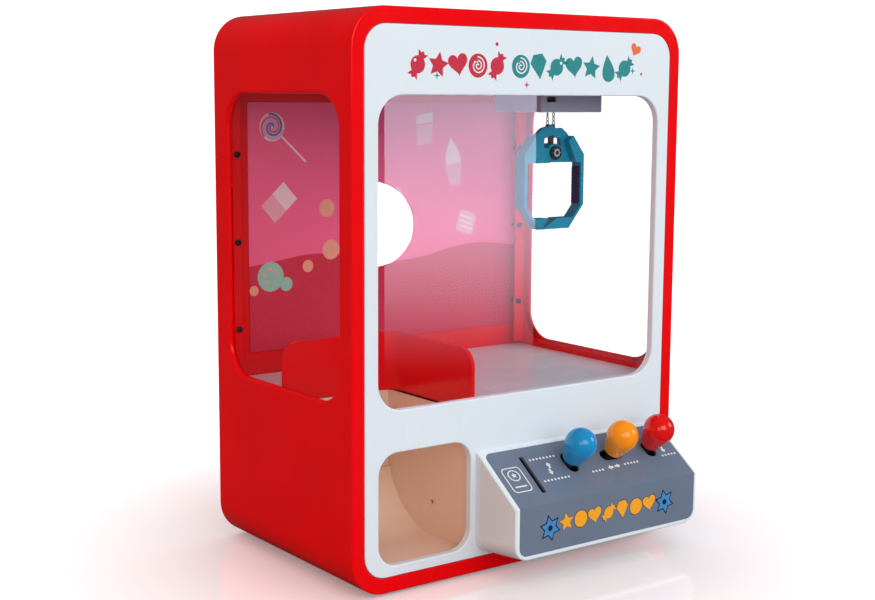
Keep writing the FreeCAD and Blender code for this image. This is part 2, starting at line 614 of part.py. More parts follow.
def lever_bracket():
    """Plate under the levers with a pair of ears for each axle."""
    low = -PIVOT_DEPTH - 4.5
    plate = slope_block((14.0, 112.0), (LEVER_S - 9, LEVER_S + 9), (low - 2, low))
    pieces = [plate]
    tools = []
    for colour, x in LEVER_X.items():
        axis = axle_direction(colour)
        for sign in (-1, 1):
            if colour == "yellow":
                span = sorted((LEVER_S + sign * 4.2, LEVER_S + sign * 6.4))
                pieces.append(slope_block((x - 3.5, x + 3.5), span, (low - 1, -PIVOT_DEPTH + 3)))
            else:
                span = sorted((x + sign * 4.2, x + sign * 6.4))
                pieces.append(slope_block(span, (LEVER_S - 3.5, LEVER_S + 3.5), (low - 1, -PIVOT_DEPTH + 3)))
        pivot = on_slope(x, LEVER_S, -PIVOT_DEPTH)
        tools.append(Part.makeCylinder(AXLE_R, 13.0, pivot - axis * 6.5, axis))
        window = 4.0
        tools.append(slope_block((x - window, x + window), (LEVER_S - window, LEVER_S + window), (low - 3, low + 0.1)))
    for x in (14.0, 108.0):
        pieces.append(slope_block((x, x + 4), (LEVER_S - 9, LEVER_S + 9), (low - 2, -PLATE_T)))
    return cut(fuse(pieces), tools)


def lever_springs():
    """Torsion springs beside the levers, wound round the axles."""
    springs = []
    for colour, x in LEVER_X.items():
        axis = axle_direction(colour)
        pivot = on_slope(x, LEVER_S, -PIVOT_DEPTH)
        for sign in (-1, 1):
            start = pivot + axis * (sign * 3.55 if sign > 0 else -4.15)
            coil = Part.makeCylinder(2.6, 0.6, start, axis).cut(Part.makeCylinder(AXLE_R, 0.6, start, axis))
            springs.append(coil)
    return Part.makeCompound(springs)


def switch_board():
    """Circuit board below the levers with a micro switch at each end of every lever's swing."""
    low = -PIVOT_DEPTH - 14.5
    pieces = [slope_block((10.0, 112.0), (LEVER_S - 13, LEVER_S + 3), (low - 1.2, low))]
    for colour, x in LEVER_X.items():
        if colour == "yellow":
            spots = [(x - 9.0, LEVER_S - 5), (x + 4.0, LEVER_S - 5)]
        else:
            spots = [(x - 2.5, LEVER_S - 12)]
        for left, down in spots:
            pieces.append(slope_block((left, left + 5), (down, down + 7), (low - 0.1, low + 3.5)))
    return fuse(pieces)


def coin_chute():
    """Two thin walls and a curved bottom that lead a coin from the slot back to the drawer."""
    wall = 1.2
    inner = (-12.3, -8.0)
    rim = on_slope(0, 5.5, -PLATE_T - 0.3)
    rim_low = on_slope(0, 39.0, -PLATE_T - 0.3)
    shape = [
        (rim.y, rim.z), (rim_low.y, rim_low.z), (rim_low.y, rim_low.z - 4), (FRONT + 2, BASE + 38.0),
        (FRONT + 58, BASE + 38.0), (FRONT + 58, BASE + 66.0), (FRONT + 2, BASE + 66.0),
    ]
    inside = [
        (rim.y, rim.z + 3), (rim_low.y - 1, rim_low.z + 3), (rim_low.y + 2.0, rim_low.z - 3.4), (FRONT + 3, BASE + 40.0),
        (FRONT + 48, BASE + 40.0), (FRONT + 48, BASE + 36.0), (FRONT + 56, BASE + 36.0), (FRONT + 56, BASE + 64.0),
        (FRONT + 1, BASE + 64.0),
    ]
    body = profile_x(shape, grow(inner, wall))
    body = body.cut(profile_x(inside, inner))
    finger_window = box((inner[1] - 0.5, inner[1] + wall + 1), (FRONT + 14, FRONT + 26), (BASE + 42, BASE + 60))
    return body.cut(finger_window)


COIN_PIVOT = (-2.6, BASE + 62.5)


def coin_lever():
    """Small sensor arm whose finger reaches through the chute's window."""
    x, z = COIN_PIVOT
    y = FRONT + 17.0
    hub = ring((x, y, z), (0, 1, 0), 2.6, 1.0 + RUNNING, 6)
    arm = box((x - 1.0, x + 1.0), (y + 1.5, y + 4.5), (z - 12.0, z - 2.0))
    finger = box((x - 7.5, x + 0.5), (y + 1.5, y + 4.5), (z - 13.5, z - 12.0))
    return fuse([hub, arm, finger])


def coin_lever_pin():
    """Pin of the sensor arm, standing on a small bracket fixed to the chute."""
    x, z = COIN_PIVOT
    pin = rod((x, FRONT + 15.4, z), (0, 1, 0), 1.0, 10.6)
    ear = box((x - 4.2, x + 2.0), (FRONT + 13.9, FRONT + 15.6), (z - 2.0, z + 2.0))
    far_ear = box((x - 4.2, x + 2.0), (FRONT + 24.4, FRONT + 26.0), (z - 2.0, z + 2.0))
    return fuse([pin, ear, far_ear])


def coin_drawer():
    """Drawer under the end of the coin chute; it pulls out at the back."""
    x = grow(DRAWER_X, -FIT)
    z = (DRAWER_Z[0] + FIT, DRAWER_Z[1] - FIT)
    y = (FRONT + 40.0, BACK)
    tray = box(x, y, z).cut(box(grow(x, -1.6), (y[0] + 1.6, y[1] - 2.4), (z[0] + 1.6, z[1] + 1)))
    middle = (x[0] + x[1]) / 2
    grip = slab_xz((middle - 9, middle + 9), (z[0] + 9, z[1] - 5), 3, (BACK - 1.4, BACK + 1))
    return tray.cut(grip)


def battery_box():
    """Open box behind the battery door, for three large round cells."""
    y = (FRONT + 106.0, REAR_FRONT)
    outer = box(grow(BATTERY_X, 1.6), y, grow(BATTERY_Z, 1.6))
    inside = box(BATTERY_X, (y[0] + 1.6, y[1] + 1), BATTERY_Z)
    walls = [box((x, x + 1.6), (y[0] + 1, y[1]), (BATTERY_Z[0], BATTERY_Z[0] + 24)) for x in (41.4, 76.9)]
    post_x = (BATTERY_X[0] + BATTERY_X[1]) / 2
    post = box((post_x - 3.5, post_x + 3.5), (REAR_FRONT - 9, REAR_FRONT - 0.3), (BATTERY_Z[1] - 8, BATTERY_Z[1] + 0.5))
    post = post.cut(rod((post_x, REAR_FRONT - 10, BATTERY_Z[1] - 4), (0, 1, 0), 1.3, 12))
    return fuse([outer.cut(inside)] + walls + [post])


def battery_contacts():
    """Flat contact at one end and cone spring at the other end of each cell's bay."""
    pieces = []
    for x in (24.4, 59.9, 95.5):
        z = BATTERY_Z[0] + 17.0
        plate = box((x - 6, x + 6), (FRONT + 107.6, FRONT + 108.1), (z - 6, z + 6))
        cone = Part.makeCone(5.0, 2.6, 7.0, FreeCAD.Vector(x, FRONT + 108.1, z), FreeCAD.Vector(0, 1, 0))
        core = Part.makeCone(4.2, 1.8, 7.0, FreeCAD.Vector(x, FRONT + 108.1, z), FreeCAD.Vector(0, 1, 0))
        pieces.append(plate.fuse(cone.cut(core)))
    return Part.makeCompound(pieces)


def battery_door():
    """Cover of the battery box, held by one screw."""
    door = slab_xz(grow(BATTERY_X, 2 - 0.3), grow(BATTERY_Z, 2 - 0.3), 2.7, (BACK - 1.6, BACK))
    centre = (BATTERY_X[0] + BATTERY_X[1]) / 2
    tools = [rod((centre, BACK - 2, BATTERY_Z[1] - 4), (0, 1, 0), 1.6, 4)]
    tools.append(rod((centre, BACK - 1.2, BATTERY_Z[1] - 4), (0, 1, 0), 2.7, 2))
    for row in range(4):
        z = BATTERY_Z[0] + 6 + row * 3.0
        tools.append(box((centre - 12, centre + 12), (BACK - 0.7, BACK + 1), (z, z + 1.4)))
    return cut(door, tools)


def speaker():
    """Small round loudspeaker behind the grille slots."""
    y = REAR_FRONT
    frame = rod((SPEAKER_AT[0], y, SPEAKER_AT[1]), (0, -1, 0), SPEAKER_R, 3)
    cone = Part.makeCone(SPEAKER_R - 3, 10.0, 8.0, FreeCAD.Vector(SPEAKER_AT[0], y - 3, SPEAKER_AT[1]),
                         FreeCAD.Vector(0, -1, 0))
    magnet = rod((SPEAKER_AT[0], y - 10.8, SPEAKER_AT[1]), (0, -1, 0), 12.0, 5)
    bowl = Part.makeCone(SPEAKER_R - 4, 6.0, 6.0, FreeCAD.Vector(SPEAKER_AT[0], y, SPEAKER_AT[1]),
                         FreeCAD.Vector(0, -1, 0))
    return fuse([frame, cone, magnet]).cut(bowl)


def circuit_board():
    """Main board lying over the battery box, with its chips and two capacitors."""
    z = BATTERY_Z[1] + 8.0
    pieces = [box((30.0, 112.0), (FRONT + 40, FRONT + 96), (z, z + 1.6))]
    for x, y, w, d, h in ((44, 52, 14, 10, 2.2), (70, 60, 18, 12, 2.6), (94, 50, 8, 8, 6.0), (48, 80, 22, 6, 7.0)):
        pieces.append(box((x, x + w), (FRONT + y, FRONT + y + d), (z + 1.5, z + 1.6 + h)))
    for x in (92.0, 102.0):
        pieces.append(rod((x, FRONT + 78.0, z + 1.5), (0, 0, 1), 3.2, 9))
    for x in (33.0, 109.0):
        for y in (43.0, 93.0):
            pieces.append(rod((x, FRONT + y, BASE + WALL), (0, 0, 1), 2.0, z - BASE - WALL + 0.1))
    return fuse(pieces)


def power_switch_body():
    """Case of the slide switch behind the rear panel."""
    x, z = SWITCH_AT
    case = box((x - 9, x + 9), (REAR_FRONT - 7, REAR_FRONT), (z - 5, z + 5))
    return case.cut(box((x - 6, x + 6), (REAR_FRONT - 4, REAR_FRONT + 1), (z - 3, z + 3)))


def power_switch_slider():
    """Slider of the power switch; it moves sideways."""
    x, z = SWITCH_AT[0] - 2.0, SWITCH_AT[1]
    plate = box((x - 3.4, x + 3.4), (REAR_FRONT - 3.4, REAR_FRONT - 0.3), (z - 2.6, z + 2.6))
    tab = box((x - 2.4, x + 2.4), (REAR_FRONT - 1, BACK + 0.0), (z - 2.0, z + 2.0))
    grooves = [box((x - 1.9 + n * 1.5, x - 1.1 + n * 1.5), (BACK - 0.6, BACK + 1), (z - 3, z + 3)) for n in range(3)]
    return cut(fuse([plate, tab]), grooves)


def rubber_feet():
    """Four round feet pressed into the underside."""
    feet = []
    for x in (-108.0, 108.0):
        for y in (FRONT + 16.0, BACK - 18.0):
            foot = rod((x, y, 0), (0, 0, 1), 7.0, FOOT)
            feet.append(round_edges(foot, 0.6, lies_on("Z", 0)))
    return Part.makeCompound(feet)


# ---- gantry ----
TOOTH_PITCH = math.pi * MODULE
TOOTH_HALF = 0.62 * MODULE
ADDENDUM = 0.9 * MODULE
DEDENDUM = 1.2 * MODULE


def rack_tooth_profile(centre, pitch_line):
    """Trapezoid tooth of a rack that points up, as (along, z) points."""
    return [
        (centre - TOOTH_HALF - 0.35, pitch_line - DEDENDUM - 0.1),
        (centre + TOOTH_HALF + 0.35, pitch_line - DEDENDUM - 0.1),
        (centre + TOOTH_HALF - 0.28, pitch_line + ADDENDUM),
        (centre - TOOTH_HALF + 0.28, pitch_line + ADDENDUM),
    ]


def tooth_centres(middle, span):
    """Tooth positions along a rack; one tooth stands exactly at middle."""
    first = math.ceil((span[0] - middle) / TOOTH_PITCH)
    last = math.floor((span[1] - middle) / TOOTH_PITCH)
    return [middle + number * TOOTH_PITCH for number in range(first, last + 1)]


def gantry_rail():
    """Right-hand rail along y: shelf, upright and a rack for the travel pinion."""
    y = (FRONT + 8.0, FRONT + 162.0)
    shelf = box((118.0, INNER_X - 0.2), y, (RAIL_SHELF_Z, RAIL_SHELF_Z + 3))
    upright = box((INNER_X - 2.4, INNER_X - 0.2), y, (RAIL_SHELF_Z - 2, RACK_PITCH_Z - DEDENDUM))
    bar = box((126.2, INNER_X - 0.2), y, (RAIL_SHELF_Z, RACK_PITCH_Z - DEDENDUM))
    teeth = [profile_x(rack_tooth_profile(at, RACK_PITCH_Z), (126.2, 130.5))
             for at in tooth_centres(TRAVEL_Y, (y[0] + 2, y[1] - 2))]
    return fuse([shelf, upright, bar] + teeth)


def pinion(centre, axis, width):
    """Small gear; a gap between two teeth points straight down at rest."""
    root = PINION_R - DEDENDUM
    tip = PINION_R + ADDENDUM
    points = []
    for tooth in range(PINION_TEETH):
        middle = math.pi / 2 + (tooth + 0.5 * (PINION_TEETH % 2)) * 2 * math.pi / PINION_TEETH
        for radius, half in ((root, TOOTH_HALF + 0.35), (PINION_R, TOOTH_HALF), (tip, TOOTH_HALF - 0.28)):
            points.append((radius, middle - half / radius))
        for radius, half in ((tip, TOOTH_HALF - 0.28), (PINION_R, TOOTH_HALF), (root, TOOTH_HALF + 0.35)):
            points.append((radius, middle + half / radius))
    half_step = math.pi / PINION_TEETH
    flat = [(radius * math.cos(angle + half_step), radius * math.sin(angle + half_step)) for radius, angle in points]
    along = FreeCAD.Vector(*axis)
    start = FreeCAD.Vector(*centre) - along * (width / 2)
    if abs(along.x) > 0.5:
        corners = [(start.x, start.y + a, start.z + b) for a, b in flat]
    else:
        corners = [(start.x + a, start.y, start.z + b) for a, b in flat]
    return outline(corners).extrude(along * width)


SHAFT_Z = RACK_PITCH_Z + PINION_R
SHAFT_R = 1.5


def travel_shaft():
    """Steel shaft over the bridge that keeps both sides in step."""
    return rod((-131.0, TRAVEL_Y, SHAFT_Z), (1, 0, 0), SHAFT_R, 262.0)


def travel_pinions():
    """The two pinions on the shaft."""
    gears = []
    for side in (-1, 1):
        gear = pinion((side * 128.3, TRAVEL_Y, SHAFT_Z), (1, 0, 0), 3.6)
        gears.append(gear.cut(travel_shaft()))
    return Part.makeCompound(gears)


def bridge_carriage():
    """Right-hand end of the bridge; it rides on the rail's shelf and carries rods and shaft."""
    y = (TRAVEL_Y - 24.0, TRAVEL_Y + 34.0)
    low = RAIL_SHELF_Z - 3.5
    block = box((CARRIAGE_X[0], 117.4), y, (low, SHAFT_Z + 5))
    head = box((116.0, CARRIAGE_X[1]), (y[0], y[1]), (RAIL_SHELF_Z + 3 + FIT, SHAFT_Z + 5))
    carriage = fuse([block, head])
    tools = [rod((100.0, TRAVEL_Y + side * ROD_SPREAD, ROD_Z), (1, 0, 0), ROD_R, 15.5) for side in (-1, 1)]
    tools.append(rod((100.0, TRAVEL_Y, SHAFT_Z), (1, 0, 0), SHAFT_R + RUNNING, 30))
    tools.append(box((CARRIAGE_X[0] + 3, CARRIAGE_X[1] + 1), (TRAVEL_Y - 21, TRAVEL_Y - 6), (RAIL_SHELF_Z + 6, SHAFT_Z + 6)))
    tools.append(box((CARRIAGE_X[0] + 3, CARRIAGE_X[1] + 1), (TRAVEL_Y + 6, TRAVEL_Y + 24), (RAIL_SHELF_Z + 6, SHAFT_Z + 6)))
    tools.append(box((CARRIAGE_X[0] - 1, CARRIAGE_X[0] + 4), grow((BRIDGE_RACK_Y, BRIDGE_RACK_Y), 1.5),
                     (BRIDGE_RACK_PITCH_Z - 5, BRIDGE_RACK_PITCH_Z - DEDENDUM)))
    return cut(carriage, tools)


def bridge_rods():
    """Two steel rods that the trolley slides on."""
    length = 2 * 115.5
    return Part.makeCompound([
        rod((-length / 2, TRAVEL_Y + side * ROD_SPREAD, ROD_Z), (1, 0, 0), ROD_R, length) for side in (-1, 1)
    ])


def bridge_rack():
    """Rack along x for the trolley's pinion."""
    y = grow((BRIDGE_RACK_Y, BRIDGE_RACK_Y), 1.5)
    bar = box((-110.0, 110.0), y, (BRIDGE_RACK_PITCH_Z - 5, BRIDGE_RACK_PITCH_Z - DEDENDUM))
    teeth = [profile_y(rack_tooth_profile(at, BRIDGE_RACK_PITCH_Z), y)
             for at in tooth_centres(TROLLEY_PINION_X, (-104.0, 104.0))]
    return fuse([bar] + teeth)


TROLLEY_PINION_X = 54.0
TROLLEY_Y = (TRAVEL_Y - TROLLEY_DEPTH / 2, TRAVEL_Y + TROLLEY_DEPTH / 2)
PINION_SHAFT_Z = BRIDGE_RACK_PITCH_Z + PINION_R


def travel_motor():
    """Motor and gearbox on the right-hand carriage that turns the travel shaft."""
    gearbox = box((110.0, 122.0), (TRAVEL_Y - 20.0, TRAVEL_Y - 6.4), (SHAFT_Z - 6, SHAFT_Z + 9))
    motor = box((108.0, 124.0), (TRAVEL_Y - 20.0, TRAVEL_Y + 5.0), (SHAFT_Z + 5.2, SHAFT_Z + 18))
    return fuse([gearbox, motor])


def trolley_housing():
    """Grey-blue box that hides the winch; open at the top, with tubes for the rods."""
    outer = box(TROLLEY_X, TROLLEY_Y, TROLLEY_Z)
    outer = round_edges(outer, 2.0, lambda edge: edge.Length > TROLLEY_Z[1] - TROLLEY_Z[0] - 0.1
                        and abs(edge.BoundBox.ZLength - (TROLLEY_Z[1] - TROLLEY_Z[0])) < 1e-3)
    outer = round_edges(outer, 0.8, lies_on("Z", TROLLEY_Z[0]))
    inside = box(grow(TROLLEY_X, -TROLLEY_WALL), grow(TROLLEY_Y, -TROLLEY_WALL),
                 (TROLLEY_Z[0] + TROLLEY_WALL, TROLLEY_Z[1] + 1))
    shell = outer.cut(inside)
    tubes = [rod((TROLLEY_X[0], TRAVEL_Y + side * ROD_SPREAD, ROD_Z), (1, 0, 0), ROD_R + 2,
                 TROLLEY_X[1] - TROLLEY_X[0]) for side in (-1, 1)]
    shell = fuse([shell] + tubes)
    tools = [rod((TROLLEY_X[0] - 1, TRAVEL_Y + side * ROD_SPREAD, ROD_Z), (1, 0, 0), ROD_R + 0.08,
                 TROLLEY_X[1] - TROLLEY_X[0] + 2) for side in (-1, 1)]
    tools.append(slab_xy((CLAW_X - 6.5, CLAW_X + 5.5), (TRAVEL_Y - 4.5, TRAVEL_Y + 4.5), 2,
                         (TROLLEY_Z[0] - 1, TROLLEY_Z[0] + TROLLEY_WALL + 1)))
    tools.append(slab_xz((49.6, 58.2), (BASE + 303.4, BASE + 307.0), 1.2, (TROLLEY_Y[0] - 1, TROLLEY_Y[0] + 3)))
    tools.append(rod((TROLLEY_PINION_X, TROLLEY_Y[1] - 5, PINION_SHAFT_Z), (0, 1, 0), 1.0 + RUNNING, 8))
    return cut(shell, tools)


def trolley_motor():
    """Motor inside the trolley that turns its pinion."""
    middle = TROLLEY_PINION_X
    return box((middle - 6.6, middle + 6.6), (TRAVEL_Y - 12.4, TRAVEL_Y + 12.4), (TROLLEY_Z[0] + 3, PINION_SHAFT_Z + 2.0))


def trolley_pinion():
    """Pinion and its shaft, behind the trolley."""
    gear = pinion((TROLLEY_PINION_X, BRIDGE_RACK_Y, PINION_SHAFT_Z), (0, 1, 0), 3.0)
    shaft = rod((TROLLEY_PINION_X, TRAVEL_Y + 12.8, PINION_SHAFT_Z), (0, 1, 0), 1.0, BRIDGE_RACK_Y - TRAVEL_Y - 12.8)
    return fuse([gear, shaft])


def winch_motor():
    """Winch motor with the two bearings of the drum."""
    case = box((83.0, 98.5), (TRAVEL_Y - 12.4, TRAVEL_Y + 12.4), (TROLLEY_Z[0] + 3, TROLLEY_Z[1] - 2))
    pieces = [case]
    for side in (-1, 1):
        span = sorted((TRAVEL_Y + side * 10.6, TRAVEL_Y + side * 12.4))
        pieces.append(box((DRUM_X - 3, 84.0), span, (DRUM_Z - 3, DRUM_Z + 3)))
    return fuse(pieces).cut(rod((DRUM_X, TRAVEL_Y - 14, DRUM_Z), (0, 1, 0), 1.2 + RUNNING, 28))


DRUM_X = CLAW_X - DRUM_R - 0.5


def winch_drum():
    """Drum that winds the chain, turned together with its shaft."""
    core = rod((DRUM_X, TRAVEL_Y - 8.5, DRUM_Z), (0, 1, 0), DRUM_R - 1.6, 17)
    shaft = rod((DRUM_X, TRAVEL_Y - 12.3, DRUM_Z), (0, 1, 0), 1.2, 24.6)
    flanges = [rod((DRUM_X, TRAVEL_Y + y, DRUM_Z), (0, 1, 0), 8.5, 1.2) for y in (-9.7, 8.5)]
    return fuse([core, shaft] + flanges)


CHAIN_X = (CLAW_X - 3.3, CLAW_X + 2.3)
CHAIN_R = 1.3
CHAIN_LOW = HUB_Z + 19.6
CHAIN_TOP = BASE + 305.0


def claw_chain():
    """The two strands of chain, from the winch to the claw, as plain round bars."""
    return Part.makeCompound([rod((x, TRAVEL_Y, CHAIN_LOW), (0, 0, 1), CHAIN_R, CHAIN_TOP - CHAIN_LOW) for x in CHAIN_X])


def claw_point(across, up):
    """Point of the claw's outline, measured from its hub, as (x, z)."""
    return (CLAW_X + across, HUB_Z + up)


def claw_hanger():
    """Dark link between the chain and the hub, in the gap between the two jaws."""
    half = 0.5
    layer = (TRAVEL_Y - half, TRAVEL_Y + half)
    bar = profile_y([claw_point(*p) for p in ((-2.4, -3), (2.4, -3), (2.4, 12), (3.6, 15), (3.6, 19.6), (-4.6, 19.6),
                                              (-4.6, 15), (-2.4, 12))], layer)
    pin_hole = rod((CLAW_X, TRAVEL_Y - 2, HUB_Z), (0, 1, 0), 1.5, 4)
    return bar.cut(pin_hole)


def claw_pivot():
    """Pin through both jaws with a fluted dark disc in front and a smaller one behind."""
    pin = rod((CLAW_X, TRAVEL_Y - 6.0, HUB_Z), (0, 1, 0), 1.5, 12.0)
    disc = rod((CLAW_X, TRAVEL_Y - CLAW_HALF_DEPTH - 0.3, HUB_Z), (0, -1, 0), 5.0, 1.8)
    disc = round_edges(disc, 0.6, lies_on("Y", TRAVEL_Y - CLAW_HALF_DEPTH - 2.1))
    disc = disc.cut(ring((CLAW_X, TRAVEL_Y - CLAW_HALF_DEPTH - 2.2, HUB_Z), (0, 1, 0), 3.6, 2.4, 0.6))
    back = rod((CLAW_X, TRAVEL_Y + CLAW_HALF_DEPTH + 0.3, HUB_Z), (0, 1, 0), 3.4, 1.2)
    return fuse([pin, disc, back])


JAW_ARM = [(-27.6, -1.5), (-16.0, 13.6), (-11.5, 17.0)]
JAW_RIM = [(-27.8, -37.5), (-14.2, -54.0)]


def jaw(tip_low, tip_high, layer, end_centre):
    """Left-hand jaw: a bent band of full depth below, with its web and arm in one layer above."""
    full = (TRAVEL_Y - CLAW_HALF_DEPTH, TRAVEL_Y + CLAW_HALF_DEPTH)
    band = profile_y([claw_point(*p) for p in [(-27.6, -1.5)] + JAW_RIM + [tip_low, tip_high, (-17.8, -46.4),
                                                                        (-24.7, -38.2), (-24.7, -7.4)]], full)
    web_points = [(-27.6, -1.5), (-16.0, 13.6), (-9.6, 11.0), (-10.4, 3.6), (-5.0, 3.0), (-4.0, -7.2), (-24.7, -7.4)]
    web = profile_y([claw_point(*p) for p in web_points], layer)
    eye = rod((CLAW_X, layer[0], HUB_Z), (0, 1, 0), 6.4, layer[1] - layer[0])
    arm = profile_y([claw_point(*p) for p in ((-16.0, 13.6), (-11.0, 17.2), (end_centre[0] - 0.8, end_centre[1] + 3.3),
                                              (end_centre[0] + 1.0, end_centre[1] - 3.1), (-9.6, 10.0))], layer)
    end = rod((claw_point(*end_centre)[0], layer[0], claw_point(*end_centre)[1]), (0, 1, 0), 3.3, layer[1] - layer[0])
    shoulder = profile_y([claw_point(*p) for p in ((-27.6, -1.5), (-17.5, 11.6), (-13.0, 8.0), (-20.5, -7.3),
                                                   (-24.7, -7.4))], full)
    body = fuse([band, web, eye, arm, end, shoulder])
    return body.cut(rod((CLAW_X, TRAVEL_Y - 10, HUB_Z), (0, 1, 0), 1.5 + RUNNING, 20))


def flip_claw(shape):
    """Mirror image about the claw's middle."""
    return shape.mirror(FreeCAD.Vector(CLAW_X, 0, 0), FreeCAD.Vector(1, 0, 0))


def claw_jaw_left():
    """Jaw whose arm lies in the front layer."""
    return jaw((-11.6, -54.0), (-4.4, -46.4), (TRAVEL_Y - CLAW_HALF_DEPTH, TRAVEL_Y - 0.9), (-2.6, 15.6))


def claw_jaw_right():
    """Jaw whose arm lies in the rear layer; its tip reaches across to the other one."""
    return flip_claw(jaw((10.6, -54.0), (-3.4, -46.4), (TRAVEL_Y + 0.9, TRAVEL_Y + CLAW_HALF_DEPTH), (-2.6, 13.2)))


def grip_pad():
    """Ribbed pad on the inside of the left-hand jaw."""
    y = (TRAVEL_Y - 4.0, TRAVEL_Y + 4.0)
    left = CLAW_X - 24.7
    plate = box((left, left + 0.7), y, (HUB_Z - 37.0, HUB_Z - 10.0))
    ribs = [box((left + 0.5, left + 1.3), y, (z, z + 1.2)) for z in
            [HUB_Z - 36.4 + number * 2.35 for number in range(11)]]
    return fuse([plate] + ribs)


def build():
    """Every sub-part under its own name."""
    gauge_window = side_window()
    strip = window_strip()
    rail = gantry_rail()
    carriage = bridge_carriage()
    pad = grip_pad()
    parts = {
        "main_housing": main_housing(),
        "front_panel": front_panel(),
        "front_window": front_window(),
        "left_window": mirror_x(gauge_window),
        "right_window": gauge_window,
        "left_window_strip": mirror_x(strip),
        "right_window_strip": strip,
        "cabinet_screws": cabinet_screws(),
        "rear_panel": rear_panel(),
        "rear_door": rear_door(),
        "backdrop_card": backdrop_card(),
        "playfield_floor": playfield_floor(),
        "chute_guard": chute_guard(),
        "prize_bin": prize_bin(),
        "console_housing": console_housing(),
        "console_faceplate": console_faceplate(),
        "lever_bracket": lever_bracket(),
        "lever_axles": lever_axles(),
        "lever_springs": lever_springs(),
        "switch_board": switch_board(),
        "coin_chute": coin_chute(),
        "coin_lever": coin_lever(),
        "coin_lever_pin": coin_lever_pin(),
        "coin_drawer": coin_drawer(),
        "battery_box": battery_box(),
        "battery_contacts": battery_contacts(),
        "battery_door": battery_door(),
        "speaker": speaker(),
        "circuit_board": circuit_board(),
        "power_switch_body": power_switch_body(),
        "power_switch_slider": power_switch_slider(),
        "rubber_feet": rubber_feet(),
        "gantry_rail_left": mirror_x(rail),
        "gantry_rail_right": rail,
        "bridge_carriage_left": mirror_x(carriage),
        "bridge_carriage_right": carriage,
        "bridge_rods": bridge_rods(),
        "bridge_rack": bridge_rack(),
        "travel_motor": travel_motor(),
        "travel_shaft": travel_shaft(),
        "travel_pinions": travel_pinions(),
        "trolley_housing": trolley_housing(),
        "trolley_motor": trolley_motor(),
        "trolley_pinion": trolley_pinion(),
        "winch_motor": winch_motor(),
        "winch_drum": winch_drum(),
        "claw_chain": claw_chain(),
        "claw_hanger": claw_hanger(),
        "claw_pivot": claw_pivot(),
        "claw_jaw_left": claw_jaw_left(),
        "claw_jaw_right": claw_jaw_right(),
        "grip_pad_left": pad,
        "grip_pad_right": flip_claw(pad),
    }
    for colour in LEVER_X:
        parts[colour + "_lever"] = lever(colour)
        parts[colour + "_knob"] = knob(colour)
    return parts


if __name__ == "__main__":
    os.makedirs("parts", exist_ok=True)
    for name, shape in build().items():
        save(name, shape)
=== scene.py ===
# %% [markdown]
# # A table-top claw crane machine
# The machine is a red plastic cabinet with a white front, clear windows, a claw on a travelling
# bridge, a prize outlet and a console with three levers. Its working parts come from a CAD model,
# and this lesson gives them finishes, eases their edges, prints the decorations and links the
# chain.
# The frame is loaded first, because every later place is measured from it.

# %% Load the frame
import json
import math

import bpy
from mathutils import Matrix, Vector

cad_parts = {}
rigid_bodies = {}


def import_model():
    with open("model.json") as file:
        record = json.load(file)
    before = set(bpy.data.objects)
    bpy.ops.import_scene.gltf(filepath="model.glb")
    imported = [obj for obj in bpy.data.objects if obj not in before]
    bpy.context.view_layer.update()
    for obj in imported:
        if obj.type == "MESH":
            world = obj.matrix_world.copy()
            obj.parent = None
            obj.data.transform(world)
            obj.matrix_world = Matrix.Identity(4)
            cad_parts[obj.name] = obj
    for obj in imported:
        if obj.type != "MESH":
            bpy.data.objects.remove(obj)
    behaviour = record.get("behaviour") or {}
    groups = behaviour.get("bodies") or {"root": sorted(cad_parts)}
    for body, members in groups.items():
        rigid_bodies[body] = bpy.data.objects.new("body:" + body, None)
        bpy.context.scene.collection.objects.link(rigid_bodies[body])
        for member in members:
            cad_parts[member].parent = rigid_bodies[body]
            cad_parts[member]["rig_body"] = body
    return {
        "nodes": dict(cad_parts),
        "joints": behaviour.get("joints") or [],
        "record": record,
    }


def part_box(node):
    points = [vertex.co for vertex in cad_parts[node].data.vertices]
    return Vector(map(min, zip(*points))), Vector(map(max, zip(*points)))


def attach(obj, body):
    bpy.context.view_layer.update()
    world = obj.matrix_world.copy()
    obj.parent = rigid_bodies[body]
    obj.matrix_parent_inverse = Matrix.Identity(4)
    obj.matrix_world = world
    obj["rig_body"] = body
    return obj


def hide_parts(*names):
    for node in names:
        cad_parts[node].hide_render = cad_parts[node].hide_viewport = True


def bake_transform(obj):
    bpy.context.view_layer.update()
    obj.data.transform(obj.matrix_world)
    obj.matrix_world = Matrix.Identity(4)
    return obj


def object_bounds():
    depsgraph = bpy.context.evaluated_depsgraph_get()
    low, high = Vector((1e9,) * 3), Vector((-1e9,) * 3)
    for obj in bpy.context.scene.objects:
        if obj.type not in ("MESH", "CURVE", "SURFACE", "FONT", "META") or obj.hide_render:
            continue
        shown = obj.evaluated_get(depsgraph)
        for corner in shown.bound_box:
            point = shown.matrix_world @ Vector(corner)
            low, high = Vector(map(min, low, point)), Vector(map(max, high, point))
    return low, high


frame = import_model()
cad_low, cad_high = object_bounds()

MM = 0.001
print("CAD box in mm:", [round(value / MM, 1) for value in cad_high - cad_low])

# %% [markdown]
# ## Where things are
# Blender's unit is the metre, and small machines are easier to think about in millimetres, so sizes
# are written as millimetres times MM. The corners of a few CAD pieces give the planes that the
# prints lie on: the front panel, the console's slope and front, the card and the prize bin. The
# trolley, the hanger and the pivot tell where the chain and the claw's rosette go.

# %% Planes and corners read from the frame
housing_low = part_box("main_housing")[0]
plate_low, plate_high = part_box("console_faceplate")
card_low, card_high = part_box("backdrop_card")
bin_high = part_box("prize_bin")[1]
trolley_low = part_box("trolley_housing")[0]
hanger_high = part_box("claw_hanger")[1]
pivot_low, pivot_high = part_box("claw_pivot")

